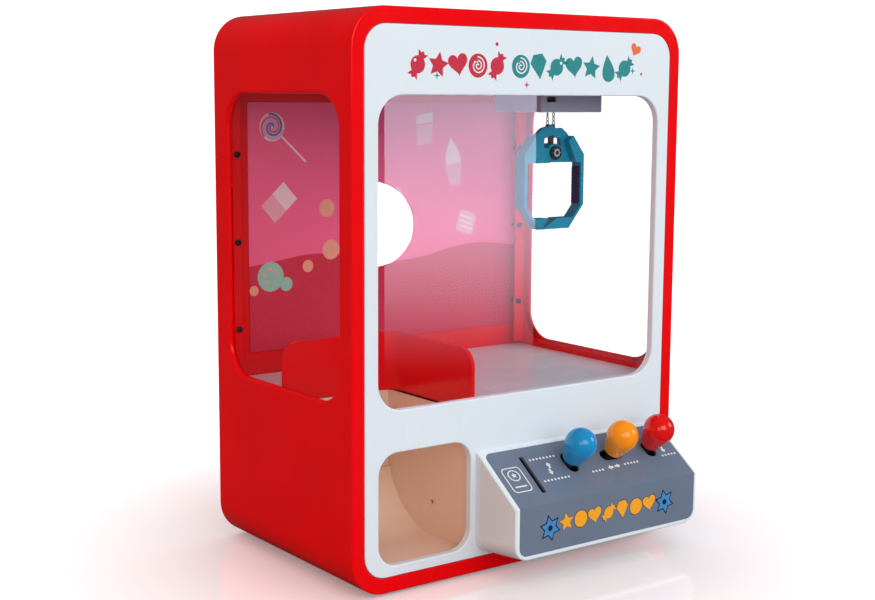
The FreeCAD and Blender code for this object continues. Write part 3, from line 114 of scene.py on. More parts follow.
front_plane = housing_low.y
base = housing_low.z
SLOPE_ANGLE = math.radians(36)
SLOPE_START = 3 * MM
slope_down = Vector((0, -math.cos(SLOPE_ANGLE), -math.sin(SLOPE_ANGLE)))
slope_top = Vector((0, front_plane - SLOPE_START, plate_high.z))
print("front plane at y =", round(front_plane / MM, 2), "mm")


# %% Small helpers
def nothing_selected():
    """Operators act on all that is selected, so everything is dropped first."""
    if bpy.context.mode != "OBJECT":
        bpy.ops.object.mode_set(mode="OBJECT")
    bpy.ops.object.select_all(action="DESELECT")


def only(piece):
    """Select one object and make it the active one."""
    nothing_selected()
    piece.select_set(True)
    bpy.context.view_layer.objects.active = piece


def apply_modifier(piece, name):
    """Apply one modifier, so that its result is the mesh itself."""
    only(piece)
    bpy.ops.object.modifier_apply(modifier=name)


def empty_tree(owner):
    """Turn on the nodes of a world, a lamp or a material, and drop the ones it starts with."""
    owner.use_nodes = True
    owner.node_tree.nodes.clear()
    return owner.node_tree.nodes, owner.node_tree.links


# %% [markdown]
# ## Camera, floor and light
# A product shot is made in a white room. The camera stands low, in front and to the left, so that
# the red side and the white front both show. Colours are kept as they are by the Standard view
# transform, because a film-like curve would take the strength out of the red.

# %% Camera
CAMERA_PLACE = (-0.6010, -0.7805, 0.3099)
CAMERA_TURN = [math.radians(angle) for angle in (81.911, -0.343, -36.436)]
SENSOR_WIDTH = 36
FOCAL_LENGTH = 59.62
nothing_selected()
bpy.ops.object.camera_add(location=CAMERA_PLACE, rotation=CAMERA_TURN)
camera = bpy.context.object
camera.name = "camera"
camera.data.sensor_width = SENSOR_WIDTH
camera.data.lens = FOCAL_LENGTH
bpy.context.scene.camera = camera
bpy.context.scene.view_settings.view_transform = "Standard"
print("camera with a lens of", FOCAL_LENGTH, "mm")

# %% [markdown]
# The room's own light is a world shader. Light from the left is weaker and warmer than light from
# the front, which keeps the two sides of the cabinet apart. What the camera sees behind the
# machine is plain white, and mirrors see a dimmer room, so that the red doesn't turn milky.

# %% World
world = bpy.data.worlds.new("studio")
bpy.context.scene.world = world
nodes, links = empty_tree(world)

light_frame = nodes.new("NodeFrame")
light_frame.label = "Light of the room"
seen_frame = nodes.new("NodeFrame")
seen_frame.label = "What is seen of it"

direction = nodes.new("ShaderNodeTexCoord")
direction.label = "Direction of the light"
axes = nodes.new("ShaderNodeSeparateXYZ")
axes.label = "Left, front and top"
from_left = nodes.new("ShaderNodeMapRange")
from_left.label = "How far to the left"
room_colour = nodes.new("ShaderNodeMix")
room_colour.label = "Warm left, white elsewhere"
room_light = nodes.new("ShaderNodeBackground")
room_light.label = "Soft light on surfaces"
mirror_light = nodes.new("ShaderNodeBackground")
mirror_light.label = "Dim room in mirrors"
backdrop_light = nodes.new("ShaderNodeBackground")
backdrop_light.label = "White backdrop"
rays = nodes.new("ShaderNodeLightPath")
rays.label = "Kind of ray"
mirror_or_room = nodes.new("ShaderNodeMixShader")
mirror_or_room.label = "Mirrors apart"
camera_or_rest = nodes.new("ShaderNodeMixShader")
camera_or_rest.label = "Camera apart"
world_output = nodes.new("ShaderNodeOutputWorld")
world_output.label = "Room"

for node, spot in (
    (direction, (-900, 100)), (axes, (-720, 100)), (from_left, (-540, 100)),
    (room_colour, (-340, 100)), (room_light, (-120, 100)), (mirror_light, (-120, -40)),
    (backdrop_light, (-120, -180)), (rays, (-120, 420)), (mirror_or_room, (120, 60)),
    (camera_or_rest, (320, 60)), (world_output, (520, 60)),
):
    node.location = spot
for node in (direction, axes, from_left, room_colour, room_light):
    node.parent = light_frame
for node in (mirror_light, backdrop_light, rays, mirror_or_room, camera_or_rest):
    node.parent = seen_frame

from_left.inputs["From Min"].default_value = -1.0
from_left.inputs["From Max"].default_value = 0.1
room_colour.data_type = "RGBA"
room_colour.inputs["A"].default_value = (1.0, 0.50, 0.32, 1)
room_colour.inputs["B"].default_value = (0.93, 0.96, 1.0, 1)
room_light.inputs["Strength"].default_value = 0.90
mirror_light.inputs["Color"].default_value = (0.9, 0.93, 1.0, 1)
mirror_light.inputs["Strength"].default_value = 0.08
backdrop_light.inputs["Color"].default_value = (1, 1, 1, 1)
backdrop_light.inputs["Strength"].default_value = 1.3

links.new(direction.outputs["Generated"], axes.inputs["Vector"])
links.new(axes.outputs["X"], from_left.inputs["Value"])
links.new(from_left.outputs["Result"], room_colour.inputs["Factor"])
links.new(room_colour.outputs["Result"], room_light.inputs["Color"])
links.new(rays.outputs["Is Glossy Ray"], mirror_or_room.inputs["Fac"])
links.new(room_light.outputs["Background"], mirror_or_room.inputs[1])
links.new(mirror_light.outputs["Background"], mirror_or_room.inputs[2])
links.new(rays.outputs["Is Camera Ray"], camera_or_rest.inputs["Fac"])
links.new(mirror_or_room.outputs["Shader"], camera_or_rest.inputs[1])
links.new(backdrop_light.outputs["Background"], camera_or_rest.inputs[2])
links.new(camera_or_rest.outputs["Shader"], world_output.inputs["Surface"])
print("world", world.name, "has", len(nodes), "nodes and frames")

# %% [markdown]
# Five lamps stand in the room. Three broad softboxes light the machine: one high in front, one at
# the right and a warmer one at the left. The other two are there for what they do in the front
# window: a tall softbox lays a milky veil over it, and a small round lamp shows as a white disc
# near its left edge. Light linking lets them reach the window only, so that they don't change the
# light on anything else. The tall one's cloth is brighter above than below, as it is when its
# flash tube sits in the upper half.


# %% Lamps
def add_softbox(name, place, target, width, height, power, shape="RECTANGLE"):
    """Area lamp that points at a target and is not seen by the camera itself."""
    nothing_selected()
    turn = (Vector(target) - Vector(place)).to_track_quat("-Z", "Y").to_euler()
    bpy.ops.object.light_add(type="AREA", location=place, rotation=turn)
    lamp = bpy.context.object
    lamp.name = name
    lamp.data.shape = shape
    lamp.data.size = width
    lamp.data.size_y = height
    lamp.data.energy = power
    lamp.visible_camera = False
    return lamp


middle = (cad_low + cad_high) / 2
add_softbox("front_softbox", (-0.35, -3.2, 1.3), middle, 2.2, 1.6, 30)
add_softbox("right_softbox", (1.9, -1.2, 0.9), middle, 0.8, 0.8, 7)
left_softbox = add_softbox("left_softbox", (-1.5, -1.9, 0.75), middle, 0.9, 0.9, 6)
left_softbox.data.color = (1.0, 0.70, 0.55)
print("the softboxes point at", [round(value / MM) for value in middle], "mm")

# %% Lamps that only the front window sees
veil_softbox = add_softbox(
    "veil_softbox", (0.285, -0.5, 0.160), (-0.0525, front_plane, 0.160), 0.152, 0.34, 1.0)
round_lamp = add_softbox(
    "round_lamp", (0.716, -1.306, 0.098), (-0.11, front_plane, 0.2325), 0.14, 0.14, 3.0, "DISK")
window_only = bpy.data.collections.new("window_only")
window_only.objects.link(frame["nodes"]["front_window"])
for lamp in (veil_softbox, round_lamp):
    lamp.light_linking.receiver_collection = window_only
    print(lamp.name, "reaches the front window only")

# %% Cloth of the veil softbox
nodes, links = empty_tree(veil_softbox.data)
cloth_frame = nodes.new("NodeFrame")
cloth_frame.label = "Brighter above"
cloth_place = nodes.new("ShaderNodeNewGeometry")
cloth_place.label = "Place on the lamp"
cloth_axes = nodes.new("ShaderNodeSeparateXYZ")
cloth_axes.label = "Height in the room"
cloth_fade = nodes.new("ShaderNodeMapRange")
cloth_fade.label = "Dim below, bright above"
cloth_glow = nodes.new("ShaderNodeEmission")
cloth_glow.label = "Glowing cloth"
cloth_output = nodes.new("ShaderNodeOutputLight")
cloth_output.label = "Lamp"
for node, spot in (
    (cloth_place, (-700, 0)), (cloth_axes, (-500, 0)), (cloth_fade, (-300, 0)),
    (cloth_glow, (-80, 0)), (cloth_output, (120, 0)),
):
    node.location = spot
for node in (cloth_place, cloth_axes, cloth_fade):
    node.parent = cloth_frame
cloth_fade.interpolation_type = "SMOOTHSTEP"
cloth_fade.inputs["From Min"].default_value = 0.02
cloth_fade.inputs["From Max"].default_value = 0.20
cloth_fade.inputs["To Min"].default_value = 0.0
cloth_fade.inputs["To Max"].default_value = 1.45
cloth_glow.inputs["Color"].default_value = (0.76, 0.80, 1.0, 1)
links.new(cloth_place.outputs["Position"], cloth_axes.inputs["Vector"])
links.new(cloth_axes.outputs["Z"], cloth_fade.inputs["Value"])
links.new(cloth_fade.outputs["Result"], cloth_glow.inputs["Strength"])
links.new(cloth_glow.outputs["Emission"], cloth_output.inputs["Surface"])

# %% [markdown]
# The floor is a sheet of pale glossy board on a light table, so it stays white behind the machine
# and mirrors the cabinet only faintly. Close to the machine its glow is turned down, as a painted
# shadow of the cabinet. It is a plane far larger than the machine. The machine itself sees a duller
# board, or the glow would wash out the red of its sides.

# %% Floor
nothing_selected()
FLOOR_SIZE = 12
bpy.ops.mesh.primitive_plane_add(size=FLOOR_SIZE, location=(0, 0, 0))
floor = bpy.context.object
floor.name = "studio_floor"

floor_board = bpy.data.materials.new("floor_board")
nodes, links = empty_tree(floor_board)
gloss_frame = nodes.new("NodeFrame")
gloss_frame.label = "Uneven gloss"
white_frame = nodes.new("NodeFrame")
white_frame.label = "White that stays white"
board_place = nodes.new("ShaderNodeTexCoord")
board_place.label = "Place on the floor"
board_cloud = nodes.new("ShaderNodeTexNoise")
board_cloud.label = "Clouds in the gloss"
board_gloss = nodes.new("ShaderNodeMapRange")
board_gloss.label = "Gloss, from even to dull"
board_white = nodes.new("ShaderNodeBsdfDiffuse")
board_white.label = "Pale board"
board_reach = nodes.new("ShaderNodeVectorMath")
board_reach.label = "Distance from the machine"
painted_shadow_fade = nodes.new("ShaderNodeMapRange")
painted_shadow_fade.label = "Dimmer near the machine"
board_glow = nodes.new("ShaderNodeEmission")
board_glow.label = "Light from below the board"
board_sum = nodes.new("ShaderNodeAddShader")
board_sum.label = "Lit from both sides"
board_mirror = nodes.new("ShaderNodeBsdfAnisotropic")
board_mirror.label = "Faint mirror"
board_mix = nodes.new("ShaderNodeMixShader")
board_mix.label = "Share of the mirror"
board_rays = nodes.new("ShaderNodeLightPath")
board_rays.label = "Kind of ray"
board_tone = nodes.new("ShaderNodeMix")
board_tone.label = "Darker in mirrors"
board_dim = nodes.new("ShaderNodeBsdfDiffuse")
board_dim.label = "Board as the machine sees it"
board_pick = nodes.new("ShaderNodeMixShader")
board_pick.label = "Camera apart"
board_output = nodes.new("ShaderNodeOutputMaterial")
board_output.label = "Floor"
for node, spot in (
    (board_place, (-760, -200)), (board_cloud, (-560, -200)), (board_gloss, (-360, -200)),
    (board_reach, (-760, 60)), (painted_shadow_fade, (-560, 60)), (board_white, (-360, 200)),
    (board_glow, (-360, 60)), (board_sum, (-120, 140)), (board_mirror, (-120, -160)),
    (board_mix, (100, 40)), (board_rays, (100, 420)), (board_tone, (-120, 300)),
    (board_dim, (100, 200)), (board_pick, (320, 120)), (board_output, (520, 120)),
):
    node.location = spot
for node in (board_place, board_cloud, board_gloss, board_mirror):
    node.parent = gloss_frame
for node in (
    board_reach, painted_shadow_fade, board_white, board_glow, board_sum, board_rays, board_tone, board_dim,
    board_pick,
):
    node.parent = white_frame
board_cloud.inputs["Scale"].default_value = 5
board_gloss.inputs["To Min"].default_value = 0.06
board_gloss.inputs["To Max"].default_value = 0.12
board_white.inputs["Color"].default_value = (0.93, 0.93, 0.95, 1)
board_glow.inputs["Color"].default_value = (0.98, 0.98, 1.0, 1)
board_reach.operation = "LENGTH"
# The glow fades towards the machine: a painted shadow of the cabinet on the floor.
painted_shadow_fade.inputs["From Min"].default_value = 0.14
painted_shadow_fade.inputs["From Max"].default_value = 0.40
painted_shadow_fade.inputs["To Min"].default_value = 0.25
painted_shadow_fade.inputs["To Max"].default_value = 0.95
board_tone.data_type = "RGBA"
board_tone.inputs["A"].default_value = (0.50, 0.46, 0.45, 1)
board_tone.inputs["B"].default_value = (0.09, 0.085, 0.09, 1)
board_mirror.inputs["Color"].default_value = (1, 1, 1, 1)
board_mix.inputs["Fac"].default_value = 0.24
links.new(board_place.outputs["Object"], board_cloud.inputs["Vector"])
links.new(board_cloud.outputs["Fac"], board_gloss.inputs["Value"])
links.new(board_gloss.outputs["Result"], board_mirror.inputs["Roughness"])
links.new(board_place.outputs["Object"], board_reach.inputs[0])
links.new(board_reach.outputs["Value"], painted_shadow_fade.inputs["Value"])
links.new(painted_shadow_fade.outputs["Result"], board_glow.inputs["Strength"])
links.new(board_white.outputs["BSDF"], board_sum.inputs[0])
links.new(board_glow.outputs["Emission"], board_sum.inputs[1])
links.new(board_sum.outputs["Shader"], board_mix.inputs[1])
links.new(board_mirror.outputs["BSDF"], board_mix.inputs[2])
links.new(board_rays.outputs["Is Glossy Ray"], board_tone.inputs["Factor"])
links.new(board_tone.outputs["Result"], board_dim.inputs["Color"])
links.new(board_rays.outputs["Is Camera Ray"], board_pick.inputs["Fac"])
links.new(board_dim.outputs["BSDF"], board_pick.inputs[1])
links.new(board_mix.outputs["Shader"], board_pick.inputs[2])
links.new(board_pick.outputs["Shader"], board_output.inputs["Surface"])
floor.data.materials.append(floor_board)
print("floor of", FLOOR_SIZE, "m with", len(nodes), "nodes and frames")

# %% [markdown]
# ## Moulded plastic
# Nearly all of the machine is injection-moulded plastic. Its colour drifts a little where the
# pigment flowed, its gloss has a faint haze and hairlines from handling, and its surface carries
# either a slow orange peel or a fine spark-eroded grain from the mould. One function makes all of
# these, because the make-up is the same and only the numbers differ.


# %% Finish: moulded plastic
def moulded_plastic(name, colour, shade, gloss, grain, relief, shine=0.5, coat=0.0):
    """Plastic of two close colours; gloss is its lowest and highest roughness, grain its features
    per metre, relief their height in metres."""
    material = bpy.data.materials.new(name)
    nodes, links = empty_tree(material)
    pigment_frame = nodes.new("NodeFrame")
    pigment_frame.label = "Pigment"
    haze_frame = nodes.new("NodeFrame")
    haze_frame.label = "Haze and hairlines"
    mould_frame = nodes.new("NodeFrame")
    mould_frame.label = "Grain of the mould"

    place = nodes.new("ShaderNodeTexCoord")
    place.label = "Place on the piece"
    flow = nodes.new("ShaderNodeTexNoise")
    flow.label = "Slow drift of the pigment"
    flow_share = nodes.new("ShaderNodeMapRange")
    flow_share.label = "Share of the second shade"
    pigment = nodes.new("ShaderNodeMix")
    pigment.label = "Two close shades"
    haze = nodes.new("ShaderNodeTexNoise")
    haze.label = "Haze from handling"
    haze_gloss = nodes.new("ShaderNodeMapRange")
    haze_gloss.label = "Roughness of the haze"
    line_turn = nodes.new("ShaderNodeMapping")
    line_turn.label = "Draw the noise out into lines"
    lines = nodes.new("ShaderNodeTexNoise")
    lines.label = "Hairlines"
    line_gloss = nodes.new("ShaderNodeMapRange")
    line_gloss.label = "Only the sharpest lines"
    gloss_sum = nodes.new("ShaderNodeMath")
    gloss_sum.label = "Haze plus hairlines"
    mould = nodes.new("ShaderNodeTexNoise")
    mould.label = "Relief of the mould"
    mould_bump = nodes.new("ShaderNodeBump")
    mould_bump.label = "Raise the relief"
    surface = nodes.new("ShaderNodeBsdfPrincipled")
    surface.label = "Plastic"
    output = nodes.new("ShaderNodeOutputMaterial")
    output.label = "Moulded plastic"
    for node, spot in (
        (place, (-1300, 0)), (flow, (-900, 300)), (flow_share, (-680, 300)),
        (pigment, (-440, 300)), (haze, (-900, 0)), (haze_gloss, (-680, 0)),
        (line_turn, (-1100, -260)), (lines, (-900, -260)), (line_gloss, (-680, -260)),
        (gloss_sum, (-440, -60)), (mould, (-900, -560)), (mould_bump, (-440, -560)),
        (surface, (-160, 100)), (output, (160, 100)),
    ):
        node.location = spot
    for node in (flow, flow_share, pigment):
        node.parent = pigment_frame
    for node in (haze, haze_gloss, line_turn, lines, line_gloss, gloss_sum):
        node.parent = haze_frame
    for node in (mould, mould_bump):
        node.parent = mould_frame

    flow.inputs["Scale"].default_value = 14
    flow.inputs["Detail"].default_value = 3
    flow_share.inputs["From Min"].default_value = 0.35
    flow_share.inputs["From Max"].default_value = 0.65
    pigment.data_type = "RGBA"
    pigment.inputs["A"].default_value = (*colour, 1)
    pigment.inputs["B"].default_value = (*shade, 1)
    haze.inputs["Scale"].default_value = 32
    haze.inputs["Detail"].default_value = 5
    haze_gloss.inputs["From Min"].default_value = 0.3
    haze_gloss.inputs["From Max"].default_value = 0.7
    haze_gloss.inputs["To Min"].default_value = gloss[0]
    haze_gloss.inputs["To Max"].default_value = gloss[1]
    line_turn.inputs["Rotation"].default_value = (0.3, 0.5, 0.7)
    line_turn.inputs["Scale"].default_value = (900, 26, 26)
    lines.inputs["Scale"].default_value = 1
    lines.inputs["Detail"].default_value = 2
    line_gloss.inputs["From Min"].default_value = 0.66
    line_gloss.inputs["From Max"].default_value = 0.76
    line_gloss.inputs["To Max"].default_value = 0.10
    gloss_sum.operation = "ADD"
    mould.inputs["Scale"].default_value = grain
    mould.inputs["Detail"].default_value = 2
    mould_bump.inputs["Strength"].default_value = 0.5
    mould_bump.inputs["Distance"].default_value = relief
    surface.inputs["IOR"].default_value = 1.5
    surface.inputs["Specular IOR Level"].default_value = shine
    surface.inputs["Coat Weight"].default_value = coat
    surface.inputs["Coat Roughness"].default_value = 0.05

    links.new(place.outputs["Object"], flow.inputs["Vector"])
    links.new(flow.outputs["Fac"], flow_share.inputs["Value"])
    links.new(flow_share.outputs["Result"], pigment.inputs["Factor"])
    links.new(pigment.outputs["Result"], surface.inputs["Base Color"])
    links.new(place.outputs["Object"], haze.inputs["Vector"])
    links.new(haze.outputs["Fac"], haze_gloss.inputs["Value"])
    links.new(place.outputs["Object"], line_turn.inputs["Vector"])
    links.new(line_turn.outputs["Vector"], lines.inputs["Vector"])
    links.new(lines.outputs["Fac"], line_gloss.inputs["Value"])
    links.new(haze_gloss.outputs["Result"], gloss_sum.inputs[0])
    links.new(line_gloss.outputs["Result"], gloss_sum.inputs[1])
    links.new(gloss_sum.outputs["Value"], surface.inputs["Roughness"])
    links.new(place.outputs["Object"], mould.inputs["Vector"])
    links.new(mould.outputs["Fac"], mould_bump.inputs["Height"])
    links.new(mould_bump.outputs["Normal"], surface.inputs["Normal"])
    links.new(surface.outputs["BSDF"], output.inputs["Surface"])
    return material


# %% The moulded finishes
# Two scales of relief in features per metre, and four heights of it in metres.
PEEL = 160
GRAIN = 1500
SHALLOW, FINE, ROUGH, WAVY = 0.00003, 0.00005, 0.00008, 0.00010
MOULDED = (
    ("red_plastic", (0.84, 0.001, 0.004), (0.78, 0.001, 0.003), (0.10, 0.17), PEEL, WAVY, 0.3),
    ("white_plastic", (0.73, 0.88, 0.97), (0.71, 0.86, 0.96), (0.16, 0.26), PEEL, WAVY, 0.4),
    # beige_plastic is the prize bin's plastic: a little beige of its own, made darker and warmer as
    # painted shade of the bin's interior.
    ("beige_plastic", (0.88, 0.68, 0.54), (0.84, 0.63, 0.49), (0.30, 0.42), GRAIN, FINE, 0.4),
    ("slate_plastic", (0.155, 0.215, 0.305), (0.140, 0.198, 0.285), (0.12, 0.20), GRAIN, SHALLOW),
    ("grey_plastic", (0.36, 0.45, 0.62), (0.33, 0.42, 0.58), (0.34, 0.46), GRAIN, FINE),
    ("dark_plastic", (0.020, 0.022, 0.030), (0.030, 0.030, 0.040), (0.35, 0.50), GRAIN, FINE),
    ("blue_plastic", (0.010, 0.33, 0.70), (0.008, 0.29, 0.64), (0.09, 0.15), PEEL, FINE, 0.5, 0.2),
    ("orange_plastic", (1.0, 0.36, 0.010), (0.95, 0.31, 0.008), (0.09, 0.15), PEEL, FINE, 0.5, 0.2),
    ("knob_red_plastic", (0.76, 0.008, 0.008), (0.70, 0.005, 0.006), (0.09, 0.15), PEEL, FINE, 0.5,
     0.2),
    ("claw_plastic", (0.010, 0.33, 0.50), (0.008, 0.30, 0.46), (0.22, 0.34), GRAIN, FINE),
    ("pad_rubber", (0.030, 0.055, 0.14), (0.024, 0.045, 0.12), (0.55, 0.70), GRAIN, ROUGH, 0.3),
    ("foot_rubber", (0.020, 0.020, 0.020), (0.028, 0.028, 0.028), (0.60, 0.75), GRAIN, ROUGH, 0.3),
)
finish = {}
for name, *numbers in MOULDED:
    finish[name] = moulded_plastic(name, *numbers)
print(len(finish), "moulded finishes")

# %% [markdown]
# ## Clear sheet
# The windows are thin clear sheets. A sheet this thin hardly bends what is behind it, so it is
# made of a see-through shader and a mirror, mixed by how steeply the sheet is looked at. That also
# lets the lamps shine straight through, which glass proper would not. Only the near face mirrors:
# seen from within the sheet, the far face would count as a total mirror at a slant.

# %% Finish: clear sheet
clear_sheet = bpy.data.materials.new("clear_sheet")
nodes, links = empty_tree(clear_sheet)
wipe_frame = nodes.new("NodeFrame")
wipe_frame.label = "Wipe marks"
sheet_frame = nodes.new("NodeFrame")
sheet_frame.label = "See through and mirror"
sheet_place = nodes.new("ShaderNodeTexCoord")
sheet_place.label = "Place on the sheet"
wipe = nodes.new("ShaderNodeTexNoise")
wipe.label = "Smears of a cloth"
wipe_gloss = nodes.new("ShaderNodeMapRange")
wipe_gloss.label = "Clean to smeared"
steepness = nodes.new("ShaderNodeFresnel")
steepness.label = "Share that is mirrored"
side = nodes.new("ShaderNodeNewGeometry")
side.label = "Near or far face of the sheet"
near_face = nodes.new("ShaderNodeMath")
near_face.label = "Mirror on the near face only"
through = nodes.new("ShaderNodeBsdfTransparent")
through.label = "See through"
mirror = nodes.new("ShaderNodeBsdfAnisotropic")
mirror.label = "Mirror"
sheet_mix = nodes.new("ShaderNodeMixShader")
sheet_mix.label = "Sheet"
sheet_output = nodes.new("ShaderNodeOutputMaterial")
sheet_output.label = "Clear sheet"
for node, spot in (
    (sheet_place, (-900, 0)), (wipe, (-700, 0)), (wipe_gloss, (-500, 0)),
    (steepness, (-500, 300)), (side, (-700, 480)), (near_face, (-260, 240)),
    (through, (-260, 80)), (mirror, (-260, -60)), (sheet_mix, (0, 60)), (sheet_output, (200, 60)),
):
    node.location = spot
for node in (sheet_place, wipe, wipe_gloss):
    node.parent = wipe_frame
for node in (side, steepness, near_face, through, mirror, sheet_mix):
    node.parent = sheet_frame
wipe.inputs["Scale"].default_value = 9
wipe.inputs["Detail"].default_value = 4
wipe.inputs["Distortion"].default_value = 1.5
wipe_gloss.inputs["From Min"].default_value = 0.45
wipe_gloss.inputs["From Max"].default_value = 0.8
wipe_gloss.inputs["To Min"].default_value = 0.0
wipe_gloss.inputs["To Max"].default_value = 0.05
steepness.inputs["IOR"].default_value = 1.45
near_face.operation = "MULTIPLY_ADD"
near_face.use_clamp = True
near_face.inputs[1].default_value = -1.0
through.inputs["Color"].default_value = (0.99, 0.99, 0.998, 1)
mirror.inputs["Color"].default_value = (0.96, 0.97, 1.0, 1)
links.new(sheet_place.outputs["Object"], wipe.inputs["Vector"])
links.new(wipe.outputs["Fac"], wipe_gloss.inputs["Value"])
links.new(wipe_gloss.outputs["Result"], mirror.inputs["Roughness"])
links.new(side.outputs["Backfacing"], near_face.inputs[0])
links.new(steepness.outputs["Fac"], near_face.inputs[2])
links.new(near_face.outputs["Value"], sheet_mix.inputs["Fac"])
links.new(through.outputs["BSDF"], sheet_mix.inputs[1])
links.new(mirror.outputs["BSDF"], sheet_mix.inputs[2])
links.new(sheet_mix.outputs["Shader"], sheet_output.inputs["Surface"])
finish["clear_sheet"] = clear_sheet
print("clear sheet has", len(nodes), "nodes and frames")

# %% [markdown]
# ## Metal
# Rods, pins and screws are drawn steel with fine lines along them, the cabinet's own screws are
# blackened, and the chain is a dull, slightly browned wire. All three are a bare metal with streaks
# in its roughness and spots of tarnish.


# %% Finish: metal
def bare_metal(name, colour, tarnish, gloss, tarnish_share):
    """Metal with streaks in its shine and a second colour in patches."""
    material = bpy.data.materials.new(name)
    nodes, links = empty_tree(material)
    tarnish_frame = nodes.new("NodeFrame")
    tarnish_frame.label = "Tarnish"
    streak_frame = nodes.new("NodeFrame")
    streak_frame.label = "Drawing streaks"
    place = nodes.new("ShaderNodeTexCoord")
    place.label = "Place on the piece"
    patches = nodes.new("ShaderNodeTexNoise")
    patches.label = "Patches of tarnish"
    patch_share = nodes.new("ShaderNodeMapRange")
    patch_share.label = "How much is tarnished"
    metal_colour = nodes.new("ShaderNodeMix")
    metal_colour.label = "Bright and tarnished"
    streak_turn = nodes.new("ShaderNodeMapping")
    streak_turn.label = "Streaks along the piece"
    streaks = nodes.new("ShaderNodeTexNoise")
    streaks.label = "Streaks"
    streak_gloss = nodes.new("ShaderNodeMapRange")
    streak_gloss.label = "Roughness of the streaks"
    streak_bump = nodes.new("ShaderNodeBump")
    streak_bump.label = "Depth of the streaks"
    surface = nodes.new("ShaderNodeBsdfPrincipled")
    surface.label = "Metal"
    output = nodes.new("ShaderNodeOutputMaterial")
    output.label = "Bare metal"
    for node, spot in (
        (place, (-1100, 0)), (patches, (-880, 240)), (patch_share, (-660, 240)),
        (metal_colour, (-420, 240)), (streak_turn, (-880, -120)), (streaks, (-660, -120)),
        (streak_gloss, (-420, -60)), (streak_bump, (-420, -320)), (surface, (-160, 60)),
        (output, (160, 60)),
    ):
        node.location = spot
    for node in (patches, patch_share, metal_colour):
        node.parent = tarnish_frame
    for node in (streak_turn, streaks, streak_gloss, streak_bump):
        node.parent = streak_frame
    patches.inputs["Scale"].default_value = 240
    patches.inputs["Detail"].default_value = 4
    patch_share.inputs["From Min"].default_value = 0.62 - tarnish_share
    patch_share.inputs["From Max"].default_value = 0.78 - tarnish_share
    metal_colour.data_type = "RGBA"
    metal_colour.inputs["A"].default_value = (*colour, 1)
    metal_colour.inputs["B"].default_value = (*tarnish, 1)
    streak_turn.inputs["Scale"].default_value = (60, 2400, 2400)
    streaks.inputs["Scale"].default_value = 1
    streak_gloss.inputs["To Min"].default_value = gloss[0]
    streak_gloss.inputs["To Max"].default_value = gloss[1]
    streak_bump.inputs["Strength"].default_value = 0.3
    streak_bump.inputs["Distance"].default_value = 0.00002
    surface.inputs["Metallic"].default_value = 1.0
    links.new(place.outputs["Object"], patches.inputs["Vector"])
    links.new(patches.outputs["Fac"], patch_share.inputs["Value"])
    links.new(patch_share.outputs["Result"], metal_colour.inputs["Factor"])
    links.new(metal_colour.outputs["Result"], surface.inputs["Base Color"])
    links.new(place.outputs["Object"], streak_turn.inputs["Vector"])
    links.new(streak_turn.outputs["Vector"], streaks.inputs["Vector"])
    links.new(streaks.outputs["Fac"], streak_gloss.inputs["Value"])
    links.new(streak_gloss.outputs["Result"], surface.inputs["Roughness"])
    links.new(streaks.outputs["Fac"], streak_bump.inputs["Height"])
    links.new(streak_bump.outputs["Normal"], surface.inputs["Normal"])
    links.new(surface.outputs["BSDF"], output.inputs["Surface"])
    return material


for name, *numbers in (
    ("steel", (0.60, 0.60, 0.62), (0.32, 0.31, 0.31), (0.18, 0.36), 0.0),
    ("blackened_steel", (0.055, 0.045, 0.045), (0.10, 0.07, 0.06), (0.30, 0.45), 0.05),
    ("chain_metal", (0.17, 0.15, 0.15), (0.06, 0.05, 0.05), (0.30, 0.48), 0.10),
):
    finish[name] = bare_metal(name, *numbers)
    print("made", name)

# %% [markdown]
# ## Printed card
# The card on the back wall is printed pink paper, a deeper red below a wavy edge near the bottom.
# The edge is the height above the floor plus a slow noise, compared with one level. A faint dot
# screen and a paper grain show when it is looked at closely.

# %% Finish: printed card
card_print = bpy.data.materials.new("card")
nodes, links = empty_tree(card_print)
low_band_frame = nodes.new("NodeFrame")
low_band_frame.label = "Hill along the bottom"
screen_frame = nodes.new("NodeFrame")
screen_frame.label = "Dot screen of the print"
paper_frame = nodes.new("NodeFrame")
paper_frame.label = "Grain of the card"
card_place = nodes.new("ShaderNodeTexCoord")
card_place.label = "Place on the card"
card_axes = nodes.new("ShaderNodeSeparateXYZ")
card_axes.label = "Height on the card"
band_edge_noise = nodes.new("ShaderNodeTexNoise")
band_edge_noise.label = "Slow waves of the hill"
band_edge_height = nodes.new("ShaderNodeMath")
band_edge_height.label = "Height plus waves"
band_edge_step = nodes.new("ShaderNodeMapRange")
band_edge_step.label = "Sharp printed edge"
sky_fade = nodes.new("ShaderNodeMapRange")
sky_fade.label = "Pink pales upwards"
sky_colour = nodes.new("ShaderNodeMix")
sky_colour.label = "Pink above"
card_colour = nodes.new("ShaderNodeMix")
card_colour.label = "Hill or sky"
dots = nodes.new("ShaderNodeTexVoronoi")
dots.label = "Dots of ink"
dot_share = nodes.new("ShaderNodeMapRange")
dot_share.label = "Faint dots"
dot_colour = nodes.new("ShaderNodeMix")
dot_colour.label = "Dots over the colour"
fibres = nodes.new("ShaderNodeTexNoise")
fibres.label = "Fibres"
fibre_bump = nodes.new("ShaderNodeBump")
fibre_bump.label = "Raise the fibres"
card_surface = nodes.new("ShaderNodeBsdfPrincipled")
card_surface.label = "Coated card"
card_output = nodes.new("ShaderNodeOutputMaterial")
card_output.label = "Printed card"
